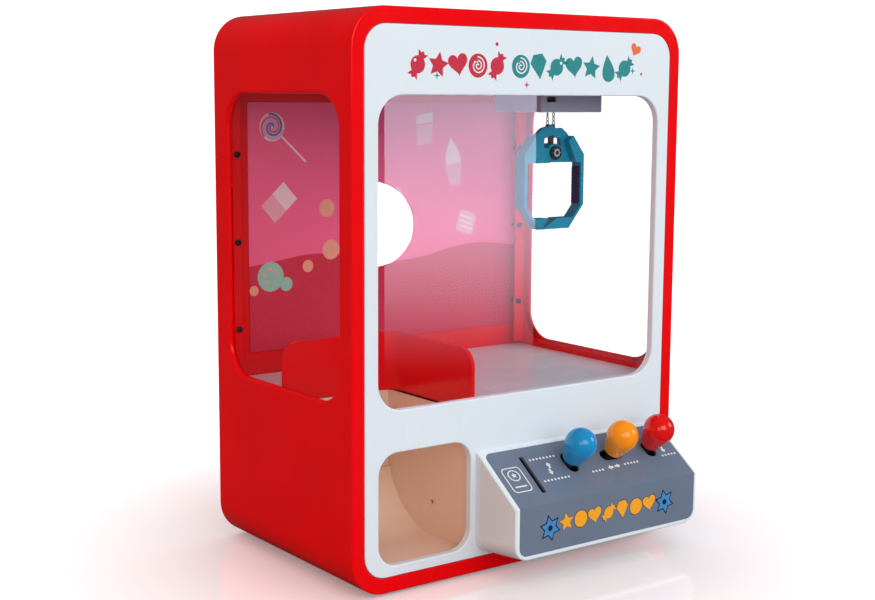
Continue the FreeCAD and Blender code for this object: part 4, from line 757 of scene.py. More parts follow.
for node, spot in (
    (card_place, (-1500, 0)), (card_axes, (-1300, 200)), (band_edge_noise, (-1300, 0)),
    (band_edge_height, (-1080, 120)), (band_edge_step, (-880, 120)), (sky_fade, (-1080, 400)),
    (sky_colour, (-880, 400)), (card_colour, (-640, 240)), (dots, (-880, -160)),
    (dot_share, (-640, -160)), (dot_colour, (-400, 120)), (fibres, (-640, -420)),
    (fibre_bump, (-400, -420)), (card_surface, (-140, 60)), (card_output, (180, 60)),
):
    node.location = spot
for node in (card_axes, band_edge_noise, band_edge_height, band_edge_step, sky_fade, sky_colour, card_colour):
    node.parent = low_band_frame
for node in (dots, dot_share, dot_colour):
    node.parent = screen_frame
for node in (fibres, fibre_bump):
    node.parent = paper_frame
# The card is a deeper red below a wavy edge that swings about this height.
BAND_TOP = base + 190 * MM
BAND_EDGE_WAVES = 30 * MM
EDGE_BLUR = 0.4 * MM
band_edge_noise.inputs["Scale"].default_value = 9
band_edge_noise.inputs["Detail"].default_value = 0
band_edge_height.operation = "MULTIPLY_ADD"
band_edge_height.inputs[1].default_value = -BAND_EDGE_WAVES
band_edge_step.inputs["From Min"].default_value = BAND_TOP - BAND_EDGE_WAVES / 2 - EDGE_BLUR
band_edge_step.inputs["From Max"].default_value = BAND_TOP - BAND_EDGE_WAVES / 2 + EDGE_BLUR
sky_fade.inputs["From Min"].default_value = BAND_TOP
sky_fade.inputs["From Max"].default_value = card_high.z
sky_colour.data_type = "RGBA"
sky_colour.inputs["A"].default_value = (0.93, 0.12, 0.28, 1)
sky_colour.inputs["B"].default_value = (0.90, 0.13, 0.31, 1)
card_colour.data_type = "RGBA"
card_colour.inputs["A"].default_value = (0.62, 0.014, 0.055, 1)
dots.inputs["Scale"].default_value = 1300
dot_share.inputs["From Min"].default_value = 0.15
dot_share.inputs["From Max"].default_value = 0.35
dot_share.inputs["To Min"].default_value = 0.16
dot_share.inputs["To Max"].default_value = 0.0
dot_colour.data_type = "RGBA"
dot_colour.inputs["B"].default_value = (0.9, 0.35, 0.45, 1)
fibres.inputs["Scale"].default_value = 2200
fibre_bump.inputs["Strength"].default_value = 0.3
fibre_bump.inputs["Distance"].default_value = 0.00003
card_surface.inputs["Roughness"].default_value = 0.38
card_surface.inputs["Specular IOR Level"].default_value = 0.35
links.new(card_place.outputs["Object"], card_axes.inputs["Vector"])
links.new(card_place.outputs["Object"], band_edge_noise.inputs["Vector"])
links.new(band_edge_noise.outputs["Fac"], band_edge_height.inputs[0])
links.new(card_axes.outputs["Z"], band_edge_height.inputs[2])
links.new(band_edge_height.outputs["Value"], band_edge_step.inputs["Value"])
links.new(card_axes.outputs["Z"], sky_fade.inputs["Value"])
links.new(sky_fade.outputs["Result"], sky_colour.inputs["Factor"])
links.new(band_edge_step.outputs["Result"], card_colour.inputs["Factor"])
links.new(sky_colour.outputs["Result"], card_colour.inputs["B"])
links.new(card_place.outputs["Object"], dots.inputs["Vector"])
links.new(dots.outputs["Distance"], dot_share.inputs["Value"])
links.new(dot_share.outputs["Result"], dot_colour.inputs["Factor"])
links.new(card_colour.outputs["Result"], dot_colour.inputs["A"])
links.new(dot_colour.outputs["Result"], card_surface.inputs["Base Color"])
links.new(card_place.outputs["Object"], fibres.inputs["Vector"])
links.new(fibres.outputs["Fac"], fibre_bump.inputs["Height"])
links.new(fibre_bump.outputs["Normal"], card_surface.inputs["Normal"])
links.new(card_surface.outputs["BSDF"], card_output.inputs["Surface"])
finish["card"] = card_print
print("the hill ends", round((BAND_TOP - base) / MM), "mm above the base")

# %% [markdown]
# ## Circuit board
# The two boards are green lacquer over copper. The tracks are bricks seen edge to edge: a brick
# pattern's mortar makes a net of thin straight lines, which reads as tracks at this size.

# %% Finish: circuit board
circuit_green = bpy.data.materials.new("circuit_green")
nodes, links = empty_tree(circuit_green)
track_frame = nodes.new("NodeFrame")
track_frame.label = "Copper tracks under lacquer"
circuit_place = nodes.new("ShaderNodeTexCoord")
circuit_place.label = "Place on the board"
tracks = nodes.new("ShaderNodeTexBrick")
tracks.label = "Net of tracks"
track_bump = nodes.new("ShaderNodeBump")
track_bump.label = "Tracks stand up a little"
lacquer = nodes.new("ShaderNodeBsdfPrincipled")
lacquer.label = "Green lacquer"
circuit_output = nodes.new("ShaderNodeOutputMaterial")
circuit_output.label = "Circuit board"
for node, spot in (
    (circuit_place, (-760, 0)), (tracks, (-560, 0)), (track_bump, (-320, -160)),
    (lacquer, (-80, 0)), (circuit_output, (240, 0)),
):
    node.location = spot
for node in (circuit_place, tracks, track_bump):
    node.parent = track_frame
tracks.inputs["Color1"].default_value = (0.010, 0.110, 0.045, 1)
tracks.inputs["Color2"].default_value = (0.014, 0.130, 0.055, 1)
tracks.inputs["Mortar"].default_value = (0.050, 0.260, 0.120, 1)
tracks.inputs["Scale"].default_value = 140
tracks.inputs["Mortar Size"].default_value = 0.03
track_bump.inputs["Strength"].default_value = 0.4
track_bump.inputs["Distance"].default_value = 0.00005
lacquer.inputs["Roughness"].default_value = 0.28
links.new(circuit_place.outputs["Object"], tracks.inputs["Vector"])
links.new(tracks.outputs["Color"], lacquer.inputs["Base Color"])
links.new(tracks.outputs["Fac"], track_bump.inputs["Height"])
links.new(track_bump.outputs["Normal"], lacquer.inputs["Normal"])
links.new(lacquer.outputs["BSDF"], circuit_output.inputs["Surface"])
finish["circuit_green"] = circuit_green
print(len(finish), "finishes so far")

# %% [markdown]
# ## Printing ink
# The decorations are pad-printed: a thin layer of ink, a little uneven, with a satin shine. Every
# ink is the same make-up in another colour.


# %% Finish: ink
def printing_ink(name, colour, thin_colour):
    """Ink that lets the surface under it show through slightly where the pad pressed less."""
    material = bpy.data.materials.new(name)
    nodes, links = empty_tree(material)
    layer_frame = nodes.new("NodeFrame")
    layer_frame.label = "Uneven layer"
    place = nodes.new("ShaderNodeTexCoord")
    place.label = "Place on the print"
    layer = nodes.new("ShaderNodeTexNoise")
    layer.label = "Pressure of the pad"
    layer_share = nodes.new("ShaderNodeMapRange")
    layer_share.label = "Thin spots"
    ink_colour = nodes.new("ShaderNodeMix")
    ink_colour.label = "Full and thin ink"
    layer_bump = nodes.new("ShaderNodeBump")
    layer_bump.label = "Texture of the pad"
    surface = nodes.new("ShaderNodeBsdfPrincipled")
    surface.label = "Ink"
    output = nodes.new("ShaderNodeOutputMaterial")
    output.label = "Printing ink"
    for node, spot in (
        (place, (-860, 0)), (layer, (-660, 0)), (layer_share, (-440, 120)),
        (ink_colour, (-220, 120)), (layer_bump, (-220, -160)), (surface, (20, 0)),
        (output, (320, 0)),
    ):
        node.location = spot
    for node in (place, layer, layer_share, ink_colour, layer_bump):
        node.parent = layer_frame
    layer.inputs["Scale"].default_value = 900
    layer.inputs["Detail"].default_value = 3
    layer_share.inputs["From Min"].default_value = 0.50
    layer_share.inputs["From Max"].default_value = 0.80
    layer_share.inputs["To Max"].default_value = 0.5
    ink_colour.data_type = "RGBA"
    ink_colour.inputs["A"].default_value = (*colour, 1)
    ink_colour.inputs["B"].default_value = (*thin_colour, 1)
    layer_bump.inputs["Strength"].default_value = 0.2
    layer_bump.inputs["Distance"].default_value = 0.00002
    surface.inputs["Roughness"].default_value = 0.32
    links.new(place.outputs["Object"], layer.inputs["Vector"])
    links.new(layer.outputs["Fac"], layer_share.inputs["Value"])
    links.new(layer_share.outputs["Result"], ink_colour.inputs["Factor"])
    links.new(ink_colour.outputs["Result"], surface.inputs["Base Color"])
    links.new(layer.outputs["Fac"], layer_bump.inputs["Height"])
    links.new(layer_bump.outputs["Normal"], surface.inputs["Normal"])
    links.new(surface.outputs["BSDF"], output.inputs["Surface"])
    return material


# %% The inks
INKS = {
    "crimson": ((0.56, 0.020, 0.055), (0.66, 0.10, 0.14)),
    "teal": ((0.012, 0.27, 0.29), (0.06, 0.36, 0.38)),
    "yellow": ((0.92, 0.42, 0.015), (0.80, 0.36, 0.05)),
    "sky": ((0.045, 0.27, 0.60), (0.07, 0.28, 0.52)),
    "navy": ((0.006, 0.014, 0.060), (0.015, 0.03, 0.09)),
    "white": ((0.78, 0.84, 0.90), (0.60, 0.66, 0.74)),
    "coral": ((0.82, 0.16, 0.04), (0.86, 0.26, 0.12)),
    "peach": ((0.86, 0.36, 0.24), (0.86, 0.30, 0.26)),
    "pale_pink": ((0.86, 0.40, 0.48), (0.84, 0.28, 0.38)),
    "lilac": ((0.62, 0.42, 0.72), (0.70, 0.36, 0.60)),
    "violet": ((0.16, 0.16, 0.52), (0.26, 0.20, 0.56)),
    "rose": ((0.80, 0.12, 0.24), (0.80, 0.20, 0.32)),
    "mint": ((0.30, 0.56, 0.46), (0.40, 0.48, 0.42)),
    "milk": ((0.88, 0.66, 0.72), (0.86, 0.50, 0.60)),
}
ink = {}
for name, colours in INKS.items():
    ink[name] = printing_ink(name + "_ink", *colours)
print(len(ink), "inks")

# %% [markdown]
# ## Finishes for the CAD pieces
# The record that comes with the frame names a material slot for each piece. A loop gives every
# piece the finish of its slot. The cabinet's screws are steel too, but blackened.

# %% Give every CAD piece its finish
slot_of = {}
for subpart in frame["record"]["subparts"]:
    slot_of[subpart["node"]] = subpart["material_slot"]
for node_name, piece in frame["nodes"].items():
    piece.data.materials.clear()
    piece.data.materials.append(finish[slot_of[node_name]])
frame["nodes"]["cabinet_screws"].data.materials[0] = finish["blackened_steel"]
print(len(slot_of), "pieces in", len(set(slot_of.values())), "finishes")

# %% [markdown]
# ## Eased edges
# Moulded plastic has no sharp edge: the mould is milled with a small cutter, and the plastic
# shrinks. A CAD piece's mesh stays as it is, so a copy is made of it, its loose triangles are
# merged, flat areas are cleaned up, and a bevel modifier rounds each edge. The copy stands for the
# CAD piece and rides on the same body.


# %% Ease the edges of moulded pieces
MERGE_DISTANCE = 0.002 * MM
FLAT_ANGLE = math.radians(0.5)
EDGE_ANGLE = math.radians(40)
SMOOTH_ANGLE = math.radians(35)


def eased(node_name, width):
    """Copy of a CAD piece with each sharp edge rounded by a small width."""
    source = frame["nodes"][node_name]
    piece = bpy.data.objects.new(node_name + "_eased", source.data.copy())
    bpy.context.scene.collection.objects.link(piece)
    only(piece)
    bpy.ops.mesh.customdata_custom_splitnormals_clear()
    bpy.ops.object.mode_set(mode="EDIT")
    bpy.ops.mesh.select_all(action="SELECT")
    bpy.ops.mesh.remove_doubles(threshold=MERGE_DISTANCE)
    bpy.ops.mesh.dissolve_limited(angle_limit=FLAT_ANGLE)
    bpy.ops.object.mode_set(mode="OBJECT")
    bevel = piece.modifiers.new("edge", "BEVEL")
    bevel.width = width
    bevel.segments = 2
    bevel.limit_method = "ANGLE"
    bevel.angle_limit = EDGE_ANGLE
    bevel.miter_outer = "MITER_ARC"
    apply_modifier(piece, "edge")
    bpy.ops.object.shade_smooth_by_angle(angle=SMOOTH_ANGLE)
    normals = piece.modifiers.new("normals", "WEIGHTED_NORMAL")
    normals.keep_sharp = True
    apply_modifier(piece, "normals")
    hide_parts(node_name)
    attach(piece, source["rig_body"])
    return piece


# %% How wide each edge is, in millimetres
EASED_WIDTHS = {
    "claw_jaw_left": 0.35, "claw_jaw_right": 0.35, "grip_pad_left": 0.12, "grip_pad_right": 0.12,
    "claw_hanger": 0.15, "trolley_housing": 0.35, "chute_guard": 0.5, "prize_bin": 0.4,
    "left_window_strip": 0.35, "right_window_strip": 0.35, "playfield_floor": 0.4,
    "gantry_rail_left": 0.2, "gantry_rail_right": 0.2, "bridge_carriage_left": 0.4,
    "bridge_carriage_right": 0.4, "travel_motor": 0.5, "coin_drawer": 0.4, "rear_door": 0.3,
    "rear_panel": 0.3, "battery_door": 0.3, "power_switch_slider": 0.12,
}
for node_name, width in EASED_WIDTHS.items():
    piece = eased(node_name, width * MM)
    print(piece.name, len(piece.data.polygons), "faces")

# %% [markdown]
# ## Chain
# Two strands of small oval links hold the claw. One link is a torus whose upper half is moved up,
# which stretches it to an oval, and each next link is a copy turned a quarter round. The winch
# pays out chain as the claw sinks, so far more chain is needed than shows at rest. The whole
# length is laid out for the lowest place of the claw, and then each point goes where it is at
# rest: the chain still to come is folded up inside the trolley, out of sight.

# %% Model one link
LINK_WIDTH = 3.0 * MM
LINK_LENGTH = 4.3 * MM
WIRE = 0.72 * MM
PITCH = LINK_LENGTH - 2 * WIRE
JUST_ABOVE_THE_MIDDLE = 1e-6
nothing_selected()
bpy.ops.mesh.primitive_torus_add(
    major_radius=(LINK_WIDTH - WIRE) / 2, minor_radius=WIRE / 2, major_segments=16,
    minor_segments=8, rotation=(math.radians(90), 0, 0),
)
link = bpy.context.object
bpy.ops.object.transform_apply(rotation=True)
for vertex in link.data.vertices:
    vertex.select = vertex.co.z > JUST_ABOVE_THE_MIDDLE
bpy.ops.object.mode_set(mode="EDIT")
bpy.ops.transform.translate(value=(0, 0, LINK_LENGTH - LINK_WIDTH))
bpy.ops.object.mode_set(mode="OBJECT")
bpy.ops.object.shade_smooth()
print("link pitch", round(PITCH / MM, 2), "mm")

# %% Where the chain is paid out
lift = next(joint for joint in frame["joints"] if joint["name"] == "claw_lift")
travel = lift["range_m"][1]
chain_low, chain_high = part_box("claw_chain")
PAY_OUT_MARGIN = 0.8 * MM
ROOM_BELOW, ROOM_ABOVE = 20 * MM, 5 * MM
HALVINGS = 50
pay_out_top = chain_high.z
pay_out_low = trolley_low.z + PAY_OUT_MARGIN
print("the claw can sink", round(travel / MM, 1), "mm")


def lowered(height):
    """Where a point of the chain is when the claw is at its lowest."""
    share = (pay_out_top - height) / (pay_out_top - pay_out_low)
    share = min(max(share, 0), 1)
    return height - travel * share * share * (3 - 2 * share)


def at_rest(height_lowered):
    """The reverse of lowered(), found by halving."""
    low, high = chain_low.z - ROOM_BELOW, pay_out_top + ROOM_ABOVE
    for step in range(HALVINGS):
        half = (low + high) / 2
        if lowered(half) < height_lowered:
            low = half
        else:
            high = half
    return low


# %% Hang the two strands
EAR_DEPTH = 1.6 * MM
STRAND_INSET = 1.3 * MM
chain_y = (chain_low.y + chain_high.y) / 2


def strand(name, x, twist):
    """Strand of links from the hanger's ear up to the winch; each link is twisted a little more."""
    bottom = hanger_high.z - EAR_DEPTH - travel
    count = int((pay_out_top - bottom) / PITCH)
    parts = []
    for number in range(count):
        part = bpy.data.objects.new(name, link.data.copy())
        bpy.context.scene.collection.objects.link(part)
        quarter = math.radians(90 * (number % 2) + twist * number)
        turn = Matrix.Rotation(quarter, 4, "Z")
        height = bottom + number * PITCH + LINK_WIDTH / 2
        place = Matrix.Translation((x, chain_y, height))
        part.data.transform(place @ turn)
        parts.append(part)
    nothing_selected()
    for part in parts:
        part.select_set(True)
    bpy.context.view_layer.objects.active = parts[0]
    bpy.ops.object.join()
    piece = parts[0]
    piece.name = name
    for vertex in piece.data.vertices:
        vertex.co.z = at_rest(vertex.co.z)
    piece.data.materials.clear()
    piece.data.materials.append(finish["chain_metal"])
    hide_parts("claw_chain")
    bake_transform(piece)
    print(name, count, "links")


strand("chain_strand_left", chain_low.x + STRAND_INSET, 14)
strand("chain_strand_right", chain_high.x - STRAND_INSET, 3)
bpy.data.objects.remove(link)

# %% [markdown]
# ## Printed decorations
# Every printed shape is a flat outline with a real thickness of a few hundredths of a millimetre,
# so its edge stays sharp from any distance. An outline is a list of points. The shape starts as a
# filled circle with as many corners as the outline has points, the corners are moved to the
# points, and the face is extruded.

# %% Outlines of discs and stars
def disc(radius, corners=40):
    """Circle."""
    angles = [2 * math.pi * k / corners for k in range(corners)]
    return [(radius * math.cos(angle), radius * math.sin(angle)) for angle in angles]


def star(outer, inner, points=5):
    """Star with one point upwards."""
    outline = []
    for k in range(2 * points):
        radius = outer if k % 2 == 0 else inner
        angle = math.pi / 2 + math.pi * k / points
        outline.append((radius * math.cos(angle), radius * math.sin(angle)))
    return outline


# %% Outlines of sweets
def heart(size):
    """Heart, about as high as its size."""
    outline = []
    for k in range(40):
        t = 2 * math.pi * k / 40
        x = 16 * math.sin(t) ** 3
        y = 13 * math.cos(t) - 5 * math.cos(2 * t) - 2 * math.cos(3 * t) - math.cos(4 * t)
        outline.append((-x * size / 29, (y + 2.5) * size / 29))
    return outline


def drop(size):
    """Gum drop: round below, drawn to a point above."""
    outline = []
    for k in range(36):
        t = 2 * math.pi * k / 36
        x = -0.42 * size * math.sin(t) * math.sin(t / 2) ** 1.3
        outline.append((x, 0.5 * size * math.cos(t)))
    return outline


def wrapped(size):
    """Wrapped sweet: a round body between two fans of paper."""
    body = 0.30 * size
    over = [math.radians(24 + 11 * k) for k in range(13)]
    top = [(body * math.cos(angle), body * math.sin(angle)) for angle in over]
    fan = [(-0.47, 0.23), (-0.42, 0.08), (-0.50, 0.0), (-0.42, -0.08), (-0.47, -0.23)]
    half = top + [(x * size, y * size) for x, y in fan]
    return half + [(-x, -y) for x, y in half]


def gem(width, height):
    """Cut stone seen from the front."""
    w, h = width / 2, height / 2
    return [(-w, h * 0.35), (0, -h), (w, h * 0.35), (w * 0.55, h), (-w * 0.55, h)]


# %% Outlines of arrows, boxes and bands
def arrow(length, head):
    """Arrow that points up."""
    shaft = head * 0.22
    top = length / 2
    neck = top - head * 0.62
    return [(-shaft, -top), (shaft, -top), (shaft, neck), (head / 2, neck), (0, top),
            (-head / 2, neck), (-shaft, neck)]


def round_box(width, height, radius):
    """Rectangle with round corners."""
    outline = []
    for quarter, (x, y) in enumerate(((1, 1), (-1, 1), (-1, -1), (1, -1))):
        centre_x, centre_y = x * (width / 2 - radius), y * (height / 2 - radius)
        for k in range(7):
            angle = math.pi / 2 * (quarter + k / 6)
            outline.append((centre_x + radius * math.cos(angle),
                            centre_y + radius * math.sin(angle)))
    return outline


def ribbon(path, width):
    """Band of even width along a path of points."""
    left, right = [], []
    for k, (x, y) in enumerate(path):
        before = Vector(path[max(k - 1, 0)])
        after = Vector(path[min(k + 1, len(path) - 1)])
        along = (after - before).normalized()
        left.append((x - along.y * width / 2, y + along.x * width / 2))
        right.append((x + along.y * width / 2, y - along.x * width / 2))
    return left + right[::-1]


def swirl(radius, width, turns, start):
    """Spiral band from near the middle out to the rim."""
    path = []
    for k in range(41):
        share = k / 40
        angle = start + turns * 2 * math.pi * share
        reach = radius * (0.08 + 0.92 * share)
        path.append((reach * math.cos(angle), reach * math.sin(angle)))
    return ribbon(path, width)


def moved(outline, x, y, turn=0):
    """The same outline somewhere else, turned by some degrees."""
    c, s = math.cos(math.radians(turn)), math.sin(math.radians(turn))
    return [(x + c * a - s * b, y + s * a + c * b) for a, b in outline]


# %% [markdown]
# The surface that a print lies on is a plane with an origin, a direction to the right and one
# upwards. Five planes are needed: the front panel, the console's slope, the console's front, the
# card and the right wall of the prize bin. The body that a print rides on goes with its plane.

# %% Planes for printing
INK = 0.06 * MM
SUNK = 0.02 * MM


def plane(origin, right, up):
    """Matrix that takes flat points to a surface."""
    right, up = Vector(right).normalized(), Vector(up).normalized()
    out = right.cross(up)
    turn = Matrix((right, up, out)).transposed().to_4x4()
    return Matrix.Translation(origin) @ turn


RIGHT, UP = (1, 0, 0), (0, 0, 1)
BIN_WALL = 1.8 * MM
bin_wall_corner = (bin_high.x - BIN_WALL, front_plane, base)
PANEL = (plane((0, front_plane, base), RIGHT, UP), "cabinet", "white_plastic")
SLOPE = (plane(slope_top, RIGHT, -slope_down), "cabinet", "slate_plastic")
CONSOLE = (plane((0, plate_low.y, base), RIGHT, UP), "cabinet", "slate_plastic")
CARD = (plane((0, card_low.y, base), RIGHT, UP), "loading_door", "card")
BIN_SIDE = (plane(bin_wall_corner, (0, -1, 0), UP), "cabinet", "beige_plastic")
print("prints are", round(INK / MM, 3), "mm thick")


# %% Make one print
def printed(name, outlines, place, material, rims=0.0, thickness=INK):
    """One print of several outlines in millimetres; rims leaves only an edge that wide."""
    surface, body, slot = place
    flats = []
    for outline in outlines:
        pairs = zip(outline, outline[1:] + outline[:1])
        area = sum(a[0] * b[1] - b[0] * a[1] for a, b in pairs)
        points = outline if area > 0 else outline[::-1]
        nothing_selected()
        bpy.ops.mesh.primitive_circle_add(vertices=len(points), radius=MM, fill_type="NGON")
        flat = bpy.context.object
        for vertex, (x, y) in zip(flat.data.vertices, points):
            vertex.co = (x * MM, y * MM, -SUNK)
        bpy.ops.object.mode_set(mode="EDIT")
        bpy.ops.mesh.select_all(action="SELECT")
        bpy.ops.mesh.normals_make_consistent(inside=False)
        if rims:
            bpy.ops.mesh.inset(thickness=rims * MM, depth=0)
            bpy.ops.mesh.delete(type="FACE")
        bpy.ops.object.mode_set(mode="OBJECT")
        flats.append(flat)
    nothing_selected()
    for flat in flats:
        flat.select_set(True)
    bpy.context.view_layer.objects.active = flats[0]
    if len(flats) > 1:
        bpy.ops.object.join()
    piece = flats[0]
    bpy.ops.object.mode_set(mode="EDIT")
    bpy.ops.mesh.select_all(action="SELECT")
    rise = {"value": (0, 0, thickness + SUNK)}
    bpy.ops.mesh.extrude_region_move(TRANSFORM_OT_translate=rise)
    bpy.ops.mesh.select_all(action="SELECT")
    bpy.ops.mesh.normals_make_consistent(inside=False)
    bpy.ops.object.mode_set(mode="OBJECT")
    piece.name = name
    piece.data.transform(surface)
    piece.data.materials.append(material)
    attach(piece, body)
    print(name, "has", len(piece.data.polygons), "faces")


# %% [markdown]
# The sign over the window is a row of sweets in crimson and a longer one in teal, with a small
# heart and a few sparkles, in place of words.

# %% Rows of sweets
def row_places(count, span):
    """Middles of equal steps between two ends."""
    step = (span[1] - span[0]) / count
    return [span[0] + step * (k + 0.5) for k in range(count)]


def spread(row, span, height, tilt):
    """Lay outlines out in a row, tilted left and right by turns."""
    places = row_places(len(row), span)
    return [moved(outline, x, height, tilt * (-1) ** k)
            for k, (outline, x) in enumerate(zip(row, places))]


# %% Sign over the window
SIGN_MIDDLE = 326.0
SIGN_SIZE = 18.0
CRIMSON_SPAN = (-95, -18.5)
TEAL_SPAN = (-14.5, 90.5)
SWEET_LEAN = 50
leaning_sweet = moved(wrapped(SIGN_SIZE), 0, 0, SWEET_LEAN)
crimson_row = [leaning_sweet, star(8.1, 4.0), heart(13.6), disc(7.4), leaning_sweet]
teal_row = [disc(7.3), gem(13.5, 16.0), leaning_sweet, heart(13.4), star(7.9, 3.9), drop(18.0),
            leaning_sweet]
printed("sign_crimson", spread(crimson_row, CRIMSON_SPAN, SIGN_MIDDLE, 10), PANEL, ink["crimson"])
printed("sign_teal", spread(teal_row, TEAL_SPAN, SIGN_MIDDLE, -8), PANEL, ink["teal"])

# %% Swirls, sparkles and shines of the sign
crimson_places = row_places(len(crimson_row), CRIMSON_SPAN)
teal_places = row_places(len(teal_row), TEAL_SPAN)
lolly_places = [crimson_places[3], teal_places[0]]
swirls = [moved(swirl(5.4, 0.9, 2.2, 0.4), x, SIGN_MIDDLE) for x in lolly_places]
sparkle = star(2.6, 0.7, 4)
teal_sparkles = [moved(sparkle, 90.5, 324.5), moved(sparkle, -73, 319.5)]
crimson_sparkles = [moved(sparkle, -2, 314.5), moved(disc(1.2, 16), -26.6, 339.5),
                    moved(disc(0.9, 16), 98.5, 322.5)]
shines = [moved(disc(1.0, 20), x, SIGN_MIDDLE + 2.6) for x in (-89.4, -42.4, -8.6, 26.6)]
printed("sign_swirls", swirls, PANEL, ink["white"], thickness=2 * INK)
printed("sign_sparkles_teal", teal_sparkles, PANEL, ink["teal"])
printed("sign_sparkles_crimson", crimson_sparkles, PANEL, ink["crimson"])
printed("sign_heart", [moved(heart(8.5), 92.5, 338.0, -24)], PANEL, ink["coral"])
printed("sign_shines", shines, PANEL, ink["white"], thickness=2 * INK)

# %% [markdown]
# The console's slope has the coin sign and the arrows that tell what each lever does, with rows of
# dots beside them. The console's front has a row of yellow sweets between two blue bursts, each on
# a navy edge.

# %% Coin sign on the console's slope
COIN_X, COIN_Y = -24.2, -20.4
coin_box = moved(round_box(15.5, 20.5, 3.2), COIN_X, -23.9)
coin_star = moved(star(2.3, 1.0), COIN_X, COIN_Y)
coin_bar = moved(round_box(9.5, 1.1, 0.5), COIN_X, -29.6)
printed("coin_sign_rim", [coin_box], SLOPE, ink["white"], rims=0.75)
printed("coin_sign_coin", [moved(disc(4.6), COIN_X, COIN_Y)], SLOPE, ink["white"], rims=0.8)
printed("coin_sign_star", [coin_star, coin_bar], SLOPE, ink["white"])

# %% Arrows and dots on the console's slope
lever_arrows = [
    moved(arrow(5.0, 4.0), 6.9, -17.3, 0), moved(arrow(5.0, 4.0), 5.3, -22.8, 180),
    moved(arrow(4.8, 3.8), 54.2, -28.6, 90), moved(arrow(4.8, 3.8), 60.3, -28.4, -90),
    moved(arrow(4.8, 4.0), 107.5, -22.7, 180),
]
DOT_STEP = 2.9
dot_rows = ((5.6, -10.8, 8), (6.2, -29.2, 8), (42.2, -29.2, 4), (73.2, -28.2, 5),
            (109.5, -27.4, 5))
lever_dots = [moved(disc(0.85, 16), x + DOT_STEP * (k - (count - 1) / 2), y)
              for x, y, count in dot_rows for k in range(count)]
printed("lever_arrows", lever_arrows, SLOPE, ink["white"])
printed("lever_dots", lever_dots, SLOPE, ink["white"])

# %% Prints on the console's front
YELLOW_SPAN = (-3.5, 82.5)
YELLOW_MIDDLE = 36.8
EDGE_GROWTH = 1.07
small_sweet = moved(wrapped(13.5), 0, 0, 48)
yellow_row = [star(6.2, 3.0), disc(5.5), heart(10.6), small_sweet, gem(10.4, 12.0), disc(5.5),
              heart(10.6)]
edge_row = [[(x * EDGE_GROWTH, y * EDGE_GROWTH) for x, y in outline] for outline in yellow_row]
edge_sweets = spread(edge_row, YELLOW_SPAN, YELLOW_MIDDLE, 7)
yellow_sweets = spread(yellow_row, YELLOW_SPAN, YELLOW_MIDDLE, 7)
printed("console_sweets_edge", edge_sweets, CONSOLE, ink["navy"])
printed("console_sweets", yellow_sweets, CONSOLE, ink["yellow"], thickness=2 * INK)
burst_spots = ((-11.2, 35.0), (90.8, 35.5))
for name, outline, turn, colour, layers in (
    ("console_bursts_edge", star(9.2, 5.2, 6), 12, "navy", 1),
    ("console_bursts", star(7.6, 4.3, 6), 12, "sky", 2),
    ("console_burst_hearts", disc(1.9, 24), 0, "navy", 3),
):
    bursts = [moved(outline, x, z, turn) for x, z in burst_spots]
    printed(name, bursts, CONSOLE, ink[colour], thickness=layers * INK)

# %% [markdown]
# The card carries large pale sweets that seem to float: a swirled lollipop, sugar cubes, coins
# of toffee, a few round gums by the deeper red band, an ice cup and two square sweets. Where one
# print lies on another it is a layer thicker.

# %% Lollipop on the card
LOLLY = (-92.3, 285.1)
printed("card_lolly", [moved(disc(10.0), *LOLLY)], CARD, ink["milk"])
THIRD_OF_A_TURN = 2.09  # radians
for number, (name, colour) in enumerate((
    ("card_lolly_blue", "violet"), ("card_lolly_rose", "rose"), ("card_lolly_lilac", "lilac"),
)):
    band = moved(swirl(9.2, 1.7, 1.3, number * THIRD_OF_A_TURN), *LOLLY)
    printed(name, [band], CARD, ink[colour], thickness=(2 + number) * INK)
stick = ribbon([(-84.8, 278.6), (-65.0, 260.3)], 1.5)
printed("card_lolly_stick", [stick], CARD, ink["milk"])

# %% Sugar cubes on the card
cube_tops = [moved([(-8.2, -6.2), (8.2, -6.2), (8.2, 6.2), (-8.2, 6.2)], -82.6, 236.6, -48),
             [(30.5, 285.6), (46.2, 287.7), (46.1, 295.1), (30.5, 292.9)]]
cube_sides = [moved([(-8.2, -6.0), (8.2, -6.0), (8.2, 6.0), (-8.2, 6.0)], -91.6, 228.4, -48),
              [(31.5, 270.0), (45.2, 272.2), (46.2, 286.9), (30.5, 284.8)]]
printed("card_cube_tops", cube_tops, CARD, ink["milk"])
printed("card_cube_sides", cube_sides, CARD, ink["pale_pink"])

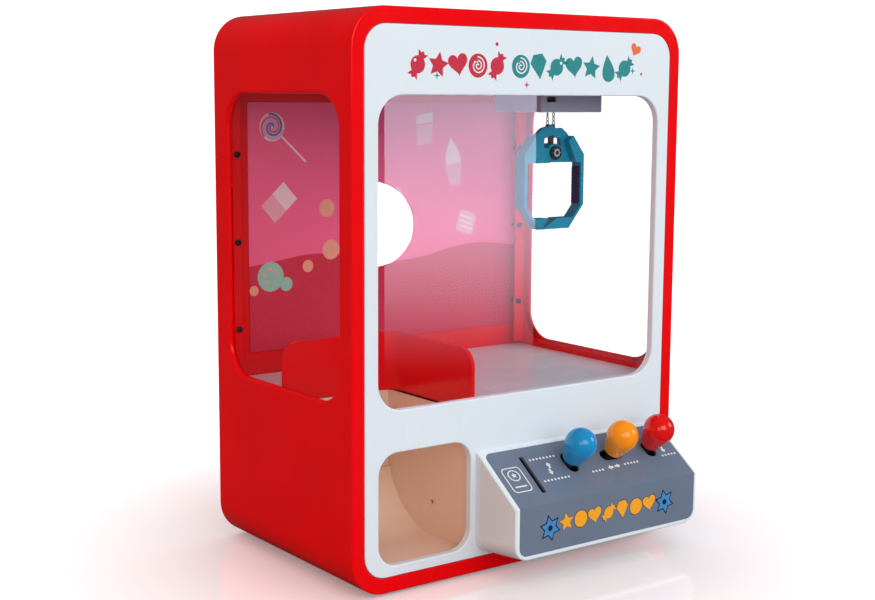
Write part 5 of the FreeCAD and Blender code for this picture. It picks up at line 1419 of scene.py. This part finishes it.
# %% Toffee coins and gums on the card
coin_spots = ((-47.7, 227.0, 6.4), (-44.5, 196.9, 7.2), (-64.0, 186.2, 4.4), (-108.0, 171.5, 3.6))
RIM_SHARE = 0.74
toffee_coins = [moved(disc(radius), x, z) for x, z, radius in coin_spots]
toffee_rims = [moved(disc(radius * RIM_SHARE), x, z) for x, z, radius in coin_spots[:2]]
gum_spots = [moved(disc(1.3, 16), -94.5 + 5.2 * math.cos(angle), 181 + 5.2 * math.sin(angle))
             for angle in (0.5, 1.7, 2.9, 4.1)]
printed("card_toffee_coins", toffee_coins, CARD, ink["peach"])
printed("card_toffee_rims", toffee_rims, CARD, ink["pale_pink"], rims=0.5, thickness=2 * INK)
printed("card_gums", [moved(disc(10.5), -94.5, 180.5)], CARD, ink["mint"])
printed("card_gum_small", [moved(disc(5.0), -82.0, 174.5)], CARD, ink["mint"], thickness=3 * INK)
printed("card_gum_spots", gum_spots, CARD, ink["peach"], thickness=2 * INK)

# %% Ice cup and square sweets on the card
ice_cup = moved([(-8, 8), (8, 8), (5, -8), (-5, -8)], 66.5, 248.0, 8)
square_sweets = [moved(round_box(17, 17, 3), 78.2, 211.0, -18),
                 moved(round_box(14, 14, 3), 12.0, 232.0, 22)]
stripes = [moved(round_box(12, 1.6, 0.7), 78.2, 211.0 + rise, -18) for rise in (-4, 0, 4)]
printed("card_ice_cream", [moved(drop(24.0), 64.5, 264.0, 8)], CARD, ink["milk"])
printed("card_ice_cup", [ice_cup], CARD, ink["pale_pink"], thickness=2 * INK)
printed("card_square_sweets", square_sweets, CARD, ink["pale_pink"])
printed("card_square_stripes", stripes, CARD, ink["milk"], thickness=2 * INK)

# %% [markdown]
# ## Small reliefs
# The claw's pivot has a fluted rosette, and the right wall of the prize bin shows two fine
# witness lines left by the mould. Both are made like the prints, only thicker.

# %% Rosette of the pivot and witness lines of the bin
pivot_x, pivot_z = (pivot_low.x + pivot_high.x) / 2, (pivot_low.z + pivot_high.z) / 2
pivot_face = plane((pivot_x, pivot_low.y, pivot_z), RIGHT, UP)
for name, outline, slot, height in (
    ("pivot_rosette", star(3.5, 2.3, 8), "grey_plastic", 0.35 * MM),
    ("pivot_rosette_cap", disc(1.3, 20), "dark_plastic", 0.7 * MM),
):
    printed(name, [outline], (pivot_face, "claw", slot), finish[slot], thickness=height)
lower_line = [(-94.4, 36.4), (-85, 32.4), (-76, 29.0), (-64, 25.7), (-52.7, 22.9), (-46, 22.6),
              (-40, 23.9)]
upper_line = [(-94.0, 37.4), (-70, 38.3), (-40.3, 39.7)]
witness_lines = [ribbon(lower_line, 0.45), ribbon(upper_line, 0.35)]
printed("bin_witness_lines", witness_lines, BIN_SIDE, finish["beige_plastic"],
        thickness=0.25 * MM)
